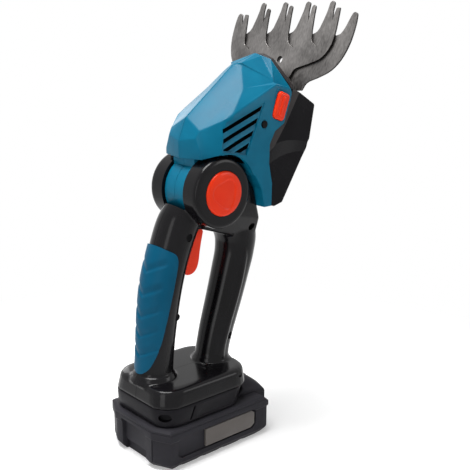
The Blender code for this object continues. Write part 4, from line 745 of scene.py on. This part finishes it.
stem_line = mm([(-9, 228.5), (-6, 197.7), (30, 197.7), (21.4, 229)])
carve_each(head, [neck, side_block("stem", stem_line, 0.0001 - neck_half, neck_half - 0.0001)],
           "UNION")

tilt = math.radians(70.0)
tip = (0.1052, 0.3344)
blade_frame = Matrix(((0, math.cos(tilt), -math.sin(tilt), tip[0]), (-1, 0, 0, 0),
                      (0, math.sin(tilt), math.cos(tilt), tip[1]), (0, 0, 0, 1)))
blade_side = blade_frame @ Matrix(((0, 0, 1, 0), (1, 0, 0, 0), (0, 1, 0, 0), (0, 0, 0, 1)))


def grown_outline(outline, distance):
    """An outline with every side moved outwards by a distance."""
    area = sum(a[0] * b[1] - b[0] * a[1] for a, b in zip(outline, outline[1:] + outline[:1]))
    sign = 1.0 if area > 0 else -1.0
    moved = []
    for step in range(len(outline)):
        here = Vector(outline[step])
        first = (here - Vector(outline[step - 1])).normalized()
        second = (Vector(outline[(step + 1) % len(outline)]) - here).normalized()
        first_out = Vector((first.y, -first.x)) * sign
        second_out = Vector((second.y, -second.x)) * sign
        moved.append(tuple(here + (first_out + second_out) * distance
                           / (1.0 + first_out.dot(second_out))))
    return moved


cover_line = mm([(-70.9, 7.2), (-70.9, -4.1), (-74.2, -22.8), (-100.5, -27.3), (-116.7, -23),
    (-154.8, -15), (-159.6, -7.9), (-160.1, -2.2), (-143.9, 3.5), (-130.7, 11.9), (-116.8, 16.7),
    (-106.5, 15), (-98.5, 8.2)])
release_along = -0.0874
release_up = 0.0161
release_top = 0.0324


def release_block(name, margin, low, high, side, half_long=0.0104, half_high=0.0058):
    """A block with round corners round a release button, square to the blades."""
    radius = 0.0029 + margin
    outline = []
    for along_sign, up_sign, start in ((1, 1, 0), (-1, 1, 90), (-1, -1, 180), (1, -1, 270)):
        for step in range(7):
            turn = math.radians(start + 15 * step)
            outline.append((release_along + along_sign * (half_long + margin - radius)
                            + radius * math.cos(turn),
                            release_up + up_sign * (half_high + margin - radius)
                            + radius * math.sin(turn)))
    return extruded(name, outline, *sorted((side * low, side * high)), blade_side)


carve_each(head, pair(release_block, "pocket_wall", 0.0018, 0.0183, 0.0290), "UNION")
head_cuts = pair(release_block, "pocket", 0.0003, 0.0198, 0.0400)
head_cuts += [extruded("cover_room", grown_outline(cover_line, 0.0003), -0.0600, 0.0600,
                       blade_side),
              side_block("axle_hole", circle(pivot.x, pivot.z, 0.0063, 32), -0.0500, 0.0500)]
sunk_field = mm([(44.6, 261.3), (4.5, 247.4), (3.3, 228.2), (26.2, 224)])
for side in both_sides:
    floor = [(x, side * y, z)
             for (x, z), y in zip(sunk_field, (0.0284, 0.0273, 0.0290, 0.0293))]
    head_cuts.append(split_flat(loft("sunk_field", [floor, [(x, side * 0.0400, z)
                                                            for x, y, z in floor]])))
head_cuts.append(side_block("screw_well", circle(0.0438, 0.2453, 0.0031, 28), -0.0400, -0.0282))
carve_each(head, head_cuts)


slot_slant = math.radians(-22.0)
slot_pitch = -0.0070
slot_middle = 0.0160
bar_length = 0.0700


def slanted_bars(tree, given):
    """Slanted bars in a row down the side, a pitch apart. A lean turns their faces outwards."""
    step = add_node(tree, "ShaderNodeCombineXYZ", links={"Z": given["Pitch"]}).outputs["Vector"]
    start = add_node(tree, "ShaderNodeCombineXYZ", values={"X": slot_middle},
                     links={"Y": given["Level"], "Z": given["Top"]}).outputs["Vector"]
    line = add_node(tree, "GeometryNodeMeshLine", {"mode": "OFFSET"},
                    links={"Count": given["Count"], "Offset": step, "Start Location": start})
    size = add_node(tree, "ShaderNodeCombineXYZ", values={"X": bar_length},
                    links={"Y": given["Width"], "Z": given["Height"]}).outputs["Vector"]
    bar = add_node(tree, "GeometryNodeMeshCube", links={"Size": size}).outputs["Mesh"]
    turn = add_node(tree, "ShaderNodeCombineXYZ", values={"Y": slot_slant},
                    links={"X": given["Lean"]}).outputs["Vector"]
    return add_node(tree, "GeometryNodeInstanceOnPoints",
                    links={"Points": line.outputs["Mesh"], "Instance": bar,
                           "Rotation": turn}).outputs["Instances"]


# The slots come first, then the sloping faces of the ribs between them.
for name, count, top, level, width, height, lean, inset in (
        ("cooling_slots", 5, 0.2470, 0.0372, 0.0300, 0.0028, 0.0, 0.0011),
        ("rib_slopes", 6, 0.2505, 0.0345, 0.0120, 0.0061, 15.0, 0.0004)):
    for side in both_sides:
        bars = grown(name, slanted_bars, {
            "Count": count, "Pitch": slot_pitch, "Top": top, "Level": side * level, "Width": width,
            "Height": height, "Lean": side * math.radians(lean)}, head_abs)
        carve(bars, [side_block("trim", grown_outline(sunk_field, -inset), -0.0500, 0.0500)],
              "INTERSECT")
        carve_each(head, [bars])
for mark, half in halves(head, "head"):
    fit_out(shade(half, 16), head_abs, "head", "blue_shell", "head_shell_" + mark)
    half.data.materials.append(slot_painted_shade)
    # The slot floors and walls take the near black: painted shade, since the slots are blind.
    for face in half.data.polygons:
        x, y, z = face.center
        across = abs(face.normal.y)
        slot_floor = across > 0.99 and 0.0212 < abs(y) < 0.0240
        slot_wall = across < 0.02 and 0.0220 < abs(y) < 0.0272
        if (slot_floor or slot_wall) and 0.0020 < x < 0.0440 and 0.2240 < z < 0.2600:
            face.material_index = 1


# Release buttons. Orange-red ABS buttons in the head's side windows, pressed to free the
# blades. Each has a raised ridge down its middle.

for mark, side in (("right", 1), ("left", -1)):
    button = release_block("release_" + mark, -0.0001, 0.0244, release_top - 0.0008, side)
    soften(button, 0.0016, 4, 30)
    ridge_bar = release_block("ridge", -0.0012, 0.0300, release_top, side, 0.0090, 0.0030)
    carve(button, [soften(ridge_bar, 0.0010, 3, 30)], "UNION")
    fit_out(shade(button, 35), orange_abs, "release_button_" + mark, "orange_button",
            "release_button_" + mark)


# Gear cover. The black ABS housing under the head, screwed to it from inside. One curved band
# is sunk in its side, and a strip along the seam with the teal shell is painted a lighter
# grey: a painted highlight.

cover_abs = moulded("satin_black_abs", "#121114", "#18171a", 0.26, 0.0008, 0.08, 0.05)
# A dark grey for the front lip, and for the seam strip, where it is a painted highlight.
nylon_and_painted_highlight = moulded("dark_grey_nylon_and_painted_highlight", "#312e2e", "#3b3737", 0.42, 0.0006, 0.2, 0.12)
cover_half = 0.0280
recess = 0.0023
gear_cover = extruded("gear_housing", cover_line, -cover_half, cover_half, blade_side)
soften(gear_cover, 0.0014, 3, 50)


def arc_through(start, middle, end, count=9):
    """Points on a smooth bend through three points in the side view."""
    bend = []
    for step in range(count):
        t = step / (count - 1)
        a, b, c = (1 - t) * (1 - 2 * t), 4 * t * (1 - t), t * (2 * t - 1)
        bend.append(tuple(a * p + b * q + c * r for p, q, r in zip(start, middle, end)))
    return bend


# The band's outline at the surface is wider than at its floor, so that its edges slope.
surface_line = arc_through(*mm([(45, 210), (68, 220.4), (101, 220)])) + mm([(110, 275),
    (85.6, 274), (80.8, 265.9), (67.7, 244), (56, 228), (44, 219)])
floor_line = arc_through(*mm([(57.2, 229), (76.7, 230.9), (101, 226.2)])) + mm([(110, 275),
    (86, 273.8), (81.2, 265.7), (68.1, 243.8), (58, 230.2), (57.5, 229.5)])
cover_tools = [loft("band", [[(x, side * level, z) for x, z in outline] for outline, level in (
    (surface_line, cover_half + 0.0002), (floor_line, cover_half - recess))])
    for side in both_sides]
hollow_line = grown_outline(cover_line, -0.0024)
for step in (0, *range(7, len(cover_line))):
    hollow_line[step] = (hollow_line[step][0], cover_line[step][1] + 0.0020)
cover_tools.append(extruded("cover_hollow", hollow_line, -0.0250, 0.0250, blade_side))
blade_slot = block("blade_slot", (-0.0238, -0.0735, -0.0019), (0.0238, -0.0600, 0.0022))
blade_slot.data.transform(blade_frame)
carve(gear_cover, cover_tools + [blade_slot])
fit_out(shade(gear_cover, 12), cover_abs, "head", "gloss_black", "gear_cover")
# The seam strip takes the lighter grey: a painted highlight along the seam.
gear_cover.data.materials.append(nylon_and_painted_highlight)
strip_foot = 0.2230
strip_slope = 0.654
for face in gear_cover.data.polygons:
    x, y, z = face.center
    at_seam = z > strip_foot and x < 0.0570 + (z - 0.2280) * strip_slope
    if at_seam and abs(y) > cover_half - 0.0002:
        face.material_index = 1


# Front lip. The dark grey nylon plate that closes the head's slanted front, above the blades.
# Its edges are chamfered.

lip_top = Vector((0.0618, 0.0, 0.2960))
lip_low = Vector((0.0727, 0.0, 0.2700))
lip_down = (lip_low - lip_top).normalized()
lip_out = Vector((-lip_down.z, 0.0, lip_down.x))
lip_frame = Matrix(((0, lip_down.x, lip_out.x, lip_top.x), (1, 0, 0, 0),
                    (0, lip_down.z, lip_out.z, lip_top.z), (0, 0, 0, 1)))
lip_right = mm([(5, 1.8), (13.6, 5.6), (26.4, 24.6), (27.6, 29)])
lip_line = [(-x, y) for x, y in reversed(lip_right)] + lip_right
lip = loft("front_lip_plate", [
    [lip_frame @ Vector((x, y, level)) for x, y in grown_outline(lip_line, -inward)]
    for level, inward in ((0.0003, 0.0), (0.0034, 0.0003), (0.0046, 0.0012))])
fit_out(shade(soften(lip, 0.0005, 2, 30), 35), nylon_and_painted_highlight, "head", "gloss_black", "front_lip")


# Blades. Two stamped plates of hardened spring steel, ground flat and lightly oiled: the
# lower one has six broad fingers, the upper one five narrower teeth that swing over it.
# Their edge faces are painted dark, a painted shade for the shadow lines along and between
# the plates, and the flats show grinding marks along the fingers.


def ground_steel():
    """Ground spring steel: a mid grey metal with fine lengthwise scratches and soft clouds."""
    material, tree, shader, place = blank("ground_spring_steel")
    lined = add_node(tree, "ShaderNodeMapping", links={"Vector": place},
                     values={"Rotation": (0.0, math.radians(20.0), 0.0),
                             "Scale": (900.0, 900.0, 26.0)}).outputs["Vector"]
    marks = add_node(tree, "ShaderNodeTexNoise", links={"Vector": lined},
                     values={"Scale": 1.0, "Detail": 3.0}).outputs["Fac"]
    clouds = add_node(tree, "ShaderNodeTexNoise", links={"Vector": place},
                      values={"Scale": 32.0, "Detail": 2.0}).outputs["Fac"]
    both = add_node(tree, "ShaderNodeMath", {"operation": "MULTIPLY_ADD"}, {1: 0.45},
                    {0: marks, 2: clouds}).outputs["Value"]
    surface(tree, shader, (both, (0.45, "#504e4d"), (1.0, "#94918f")), (marks, 0.3, 0.44),
            (marks, 0.18, 0.0001))
    shader.inputs["Metallic"].default_value = 1.0
    return material


def metal(name, low, high, rough, grain):
    """A plain metal with fine uneven gloss. Grain is in metres."""
    material, tree, shader, place = blank(name)
    spots = add_node(tree, "ShaderNodeTexNoise", links={"Vector": place},
                     values={"Scale": 1.0 / grain, "Detail": 3.0}).outputs["Fac"]
    surface(tree, shader, (spots, (0.3, low), (0.7, high)), (spots, rough * 0.85, rough * 1.2),
            (spots, 0.08, 0.0001))
    shader.inputs["Metallic"].default_value = 1.0
    return material


blade_face = ground_steel()
# A dark metal for the blades' edge faces: painted shade for the shadow lines between the plates.
painted_blade_edge_shade = metal("painted_dark_edge_shade", "#2a2828", "#3a3837", 0.45, 0.0020)
finger_pitch = 0.02485
tooth_pitch = 0.0246
tip_radius = 0.0024


def finger(middle, tip_along, root_along, tip_half, root_half):
    """One finger from its left root over the round tip to its right root."""
    crown = tip_along - tip_radius
    points = [(-root_half, root_along), (-0.86 * root_half, root_along + 0.0009),
              (-0.68 * root_half, root_along + 0.0035),
              (-0.5 * (0.68 * root_half + tip_half), root_along + 0.0100),
              (-tip_half * 1.12, crown - 0.0050)]
    points += [(-tip_half * math.cos(turn), crown + tip_radius * math.sin(turn))
               for turn in [math.pi * step / 8 for step in range(9)]]
    points += [(-x, y) for x, y in reversed(points[:5])]
    return [(middle + x, y) for x, y in points]


def loops_plate(name, loops, low, high, place):
    """A flat plate with holes: its outline first, then its holes."""
    curve = bpy.data.curves.new(name, "CURVE")
    curve.dimensions = "2D"
    curve.fill_mode = "BOTH"
    curve.extrude = (high - low) / 2
    for loop in loops:
        spline = curve.splines.new("POLY")
        spline.points.add(len(loop) - 1)
        for point, (x, y) in zip(spline.points, loop):
            point.co = (x, y, 0.0, 1.0)
        spline.use_cyclic_u = True
    drawn = link_up(name + "_line", curve)
    mesh = final_mesh(drawn)
    bpy.data.objects.remove(drawn)
    mesh.transform(place @ Matrix.Translation((0, 0, (low + high) / 2)))
    form = bmesh.new()
    form.from_mesh(mesh)
    bmesh.ops.remove_doubles(form, verts=form.verts, dist=1e-6)
    return body_of(name, form)


def hole(centre, radius, sideways=0.0):
    """A round hole in a plate, drawn the other way round."""
    return [(x, y) for y, x in circle(centre, sideways, radius, 28)]


pivot_along = -0.0785
fixed_root = -0.0245
fixed = [(0.0, fixed_root - 0.0015)]
fixed += finger(finger_pitch / 2, 0.0, fixed_root, 0.0024, 0.0088)
fixed += [(finger_pitch, fixed_root - 0.0018)]
fixed += finger(1.5 * finger_pitch, 0.0, fixed_root - 0.0002, 0.0024, 0.0088)
fixed += [(2.0 * finger_pitch - 0.0002, fixed_root - 0.0025)]
outer = 2.5 * finger_pitch
fixed += smooth_line([(outer + x, y) for x, y in mm([(-9, -25.7), (-6.2, -21.5), (-2.8, -11.4),
    (-1.4, -9.3), (0.8, -9.2), (2.4, -11.4), (3.2, -20), (2.2, -33), (-2, -45), (-9, -53.5),
    (-19, -59), (-29, -63.5), (-32.2, -69.8)])], 40)
fixed += mm([(23.5, -70.3), (23.5, -88), (14, -102.5)])
fixed_line = fixed + [(-x, y) for x, y in reversed(fixed[1:])]
moving_root = -0.0350
moving = finger(0.0, -0.0036, moving_root, 0.0019, 0.0076)[9:]
moving += [(0.5 * tooth_pitch, moving_root - 0.0030)]
moving += finger(tooth_pitch, -0.0046, moving_root, 0.0019, 0.0076)
moving += [(1.5 * tooth_pitch, moving_root - 0.0030)]
outer = 2.0 * tooth_pitch
moving += smooth_line([(outer + x, y) for x, y in mm([(-7.4, -35), (-5, -31), (-1.9, -10.8),
    (-0.8, -8.5), (0.9, -8.5), (2, -10.8), (2.2, -34), (-4.4, -46), (-15.7, -51), (-28.9, -55),
    (-32.2, -60), (-34, -66), (-35, -86)])], 44)
moving += mm([(5.5, -90), (5.5, -104.5)])
moving_line = moving + [(-x, y) for x, y in reversed(moving)]
crank_slot = mm([(1.8, -102.8), (1.8, -94.2), (-1.8, -94.2), (-1.8, -102.8)])
swing = (Matrix.Translation((0, pivot_along, 0)) @ Matrix.Rotation(math.radians(2.60), 4, "Z")
         @ Matrix.Translation((0, -pivot_along, 0)))
for name, loops, low, high, place, body, node in (
        ("lower_blade", [fixed_line, hole(-0.0475, 0.0026), hole(pivot_along, 0.0033),
                         hole(-0.0985, 0.0049)], -0.0016, 0.0, blade_frame, "head",
         "fixed_blade"),
        ("upper_blade", [moving_line, hole(-0.0475, 0.0029, 0.0014), hole(pivot_along, 0.0033),
                         crank_slot], 0.0003, 0.0019, blade_frame @ swing, "moving_blade",
         "moving_blade")):
    plate = soften(loops_plate(name, loops, low, high, place), 0.00022, 1, 45)
    fit_out(shade(plate, 30), blade_face, body, "blade_steel", node)
    # Faces across the plate take the dark metal: painted shade.
    plate.data.materials.append(painted_blade_edge_shade)
    flat = place.to_3x3() @ Vector((0, 0, 1))
    for face in plate.data.polygons:
        face.material_index = 0 if abs(face.normal.dot(flat)) > 0.6 else 1


# Battery screws. Four pan head screws with a cross recess, which hold the tub to the lid from
# below. They stand in round wells.

# Black oxide steel for the screws. The motor can takes it too, as painted shade.
black_steel_and_painted_shade = metal("black_oxide_steel_and_painted_shade", "#0d0d0e", "#161617", 0.42, 0.0020)
screw_profile = mm([(0, 0.3), (2.2, 0.3), (2.6, 0.6), (2.7, 1), (2.7, 1.6), (1.2, 1.8), (1.2, 6),
    (0, 6.6)])
for count, (x, y) in enumerate(screw_places, 1):
    screw = turned(f"battery_screw_{count}_seen", screw_profile, 1, Vector((0, 0, 0)), 32)
    screw.data.transform(Matrix.Translation((x, y, 0)) @ Matrix.Rotation(math.pi / 2, 4, "X"))
    carve_each(screw, [block("cross", (x - long_x, y - long_y, 0.0),
                             (x + long_x, y + long_y, 0.0011))
                       for long_x, long_y in ((0.0015, 0.0003), (0.0003, 0.0015))])
    fit_out(shade(screw, 35), black_steel_and_painted_shade, "battery", "dark_steel", f"battery_screw_{count}")


# The pieces that the frame already shapes well keep their meshes: the handle's and head's
# screws, pins, coils, gears, the motor and the battery's insides. Each gets its real finish,
# but the zinc plated motor can is painted black: painted shade behind the head's slots.

zinc_steel = metal("zinc_plated_steel", "#a9a9a6", "#c2c2bf", 0.32, 0.0030)
turned_brass = metal("turned_brass", "#b58f45", "#cfab62", 0.3, 0.0025)
nickel = metal("nickel_strip", "#b3b1aa", "#cbc9c2", 0.35, 0.0040)
glass_nylon = moulded("glass_filled_nylon", "#39393c", "#4a4a4d", 0.55, 0.0010, 0.4, 0.4)
cell_film = moulded("pvc_cell_sleeve", "#1f6f8c", "#2a7e9c", 0.35, 0.0030, 0.15, 0.45, 1.54)
solder_mask = moulded("solder_mask_on_epoxy", "#14512e", "#1c6239", 0.4, 0.0010, 0.2, 0.5, 1.55)
finishes = {
    zinc_steel: "pivot_axle detent_ring_right detent_ring_left pivot_spring_right "
                "pivot_spring_left trigger_pin trigger_spring gear_pin motor_shaft "
                "blade_pivot_pin release_spring_right release_spring_left latch_spring",
    # The motor can is painted black here: painted shade behind the head's slots.
    black_steel_and_painted_shade: "head_screws motor_can handle_screw_1 handle_screw_2 handle_screw_3 "
                 "handle_screw_4",
    turned_brass: "battery_terminals terminal_block crank_gear pinion",
    nickel: "cell_strap_right cell_strap_left",
    glass_nylon: "cell_holder switch_body gearbox_plate gearbox_case motor_end_cap",
    cell_film: "battery_cell_1 battery_cell_2 battery_cell_3 battery_cell_4 battery_cell_5",
    solder_mask: "battery_board",
}
for material, names in finishes.items():
    for name in names.split():
        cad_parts[name].data.materials.clear()
        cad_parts[name].data.materials.append(material)


# Stage. A white sweep under soft lamps, and the camera where the photograph was taken from.
# The sweep is white for the camera and in reflections, and still takes the shear's shadow.


def show_white(tree, lit, shown, output):
    """Let one shader take the lamps' light, and show another to the camera and in
    reflections."""
    rays = add_node(tree, "ShaderNodeLightPath").outputs
    first = add_node(tree, "ShaderNodeMath", {"operation": "MAXIMUM"},
                     links={0: rays["Is Camera Ray"], 1: rays["Is Glossy Ray"]})
    second = add_node(tree, "ShaderNodeMath", {"operation": "MAXIMUM"},
                      links={0: first.outputs["Value"], 1: rays["Is Transmission Ray"]})
    seen = add_node(tree, "ShaderNodeMixShader", links={"Fac": second.outputs["Value"], 1: lit,
                                                        2: shown})
    tree.links.new(seen.outputs["Shader"], tree.nodes[output].inputs["Surface"])


white = (1, 1, 1, 1)
floor_glow = 0.32
world_glow = 0.10
fade_start, fade_end = 0.16, 0.40
backdrop, tree, paper, place = blank("matt_white_paper")
paper.inputs["Roughness"].default_value = 0.9
paper.inputs["Specular IOR Level"].default_value = 0.2
fibre = add_node(tree, "ShaderNodeTexNoise", values={"Scale": 500.0},
                 links={"Vector": place}).outputs["Fac"]
paper_white = add_node(tree, "ShaderNodeValToRGB", links={"Fac": fibre},
                       stops=[(0.0, "#efefef"), (1.0, "#f4f4f4")])
tree.links.new(paper_white.outputs["Color"], paper.inputs["Base Color"])
fill = add_node(tree, "ShaderNodeEmission", values={"Color": white, "Strength": floor_glow})
near = add_node(tree, "ShaderNodeAddShader", links={0: paper.outputs["BSDF"],
                                                    1: fill.outputs["Emission"]})
spread = add_node(tree, "ShaderNodeVectorMath", {"operation": "LENGTH"}, links={0: place})
fade = add_node(tree, "ShaderNodeMapRange", {"interpolation_type": "SMOOTHSTEP"},
                {"From Min": fade_start, "From Max": fade_end}, {"Value": spread.outputs["Value"]})
far = add_node(tree, "ShaderNodeEmission", values={"Color": white, "Strength": 1.0})
sweep = add_node(tree, "ShaderNodeMixShader", links={
    "Fac": fade.outputs["Result"], 1: near.outputs["Shader"], 2: far.outputs["Emission"]})
show_white(tree, paper.outputs["BSDF"], sweep.outputs["Shader"], "Material Output")
bpy.ops.mesh.primitive_plane_add(size=6.0, location=(0, 0, -0.0002))
floor = bpy.context.object
floor.name = "sweep"
floor.data.materials.append(backdrop)
floor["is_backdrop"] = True

world = bpy.data.worlds.new("studio")
bpy.context.scene.world = world
world.use_nodes = True
tree = world.node_tree
plain = tree.nodes["Background"]
plain.inputs["Color"].default_value = white
plain.inputs["Strength"].default_value = world_glow
bright = add_node(tree, "ShaderNodeBackground", values={"Color": white, "Strength": 1.0})
show_white(tree, plain.outputs["Background"], bright.outputs["Background"], "World Output")


def lamp(name, place, aim, width, height, power):
    """A soft rectangular lamp that faces a point."""
    light = bpy.data.lights.new(name, "AREA")
    light.shape = "RECTANGLE"
    light.size = width
    light.size_y = height
    light.energy = power
    made = link_up(name, light)
    made.location = place
    made.rotation_euler = (Vector(aim) - Vector(place)).to_track_quat("-Z", "Y").to_euler()


lamp("top_box", (-0.20, 0.10, 1.36), (0.02, 0.0, 0.20), 0.70, 0.70, 24.0)
lamp("right_box", (0.80, -0.92, 0.50), (0.02, 0.0, 0.20), 0.40, 0.50, 2.2)
lamp("left_box", (-1.00, -0.45, 0.45), (0.0, 0.0, 0.16), 0.30, 1.00, 2.6)
lamp("back_box", (0.36, 1.12, 0.46), (0.0, 0.0, 0.20), 0.35, 0.45, 1.1)

view_turn, view_pitch, view_roll = map(math.radians, (-41.9640, 14.0558, -0.6270))
camera_place = (-0.366173, -0.454425, 0.309219)
forward = Vector((-math.sin(view_turn) * math.cos(view_pitch),
                  math.cos(view_turn) * math.cos(view_pitch), -math.sin(view_pitch)))
level = Vector((math.cos(view_turn), math.sin(view_turn), 0.0))
downward = forward.cross(level)
right = level * math.cos(view_roll) + downward * math.sin(view_roll)
down = downward * math.cos(view_roll) - level * math.sin(view_roll)
camera = link_up("camera", bpy.data.cameras.new("camera"))
camera.data.sensor_width = 36.0
camera.data.lens = 61.41
turn = Matrix((right, -down, -forward)).transposed().to_4x4()
camera.matrix_world = Matrix.Translation(camera_place) @ turn
bpy.context.scene.camera = camera
bpy.context.scene.view_settings.view_transform = "Standard"

low, high = cad_box
seen_low, seen_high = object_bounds()
{"cad": [list(low), list(high)], "visual": [list(seen_low), list(seen_high)]}
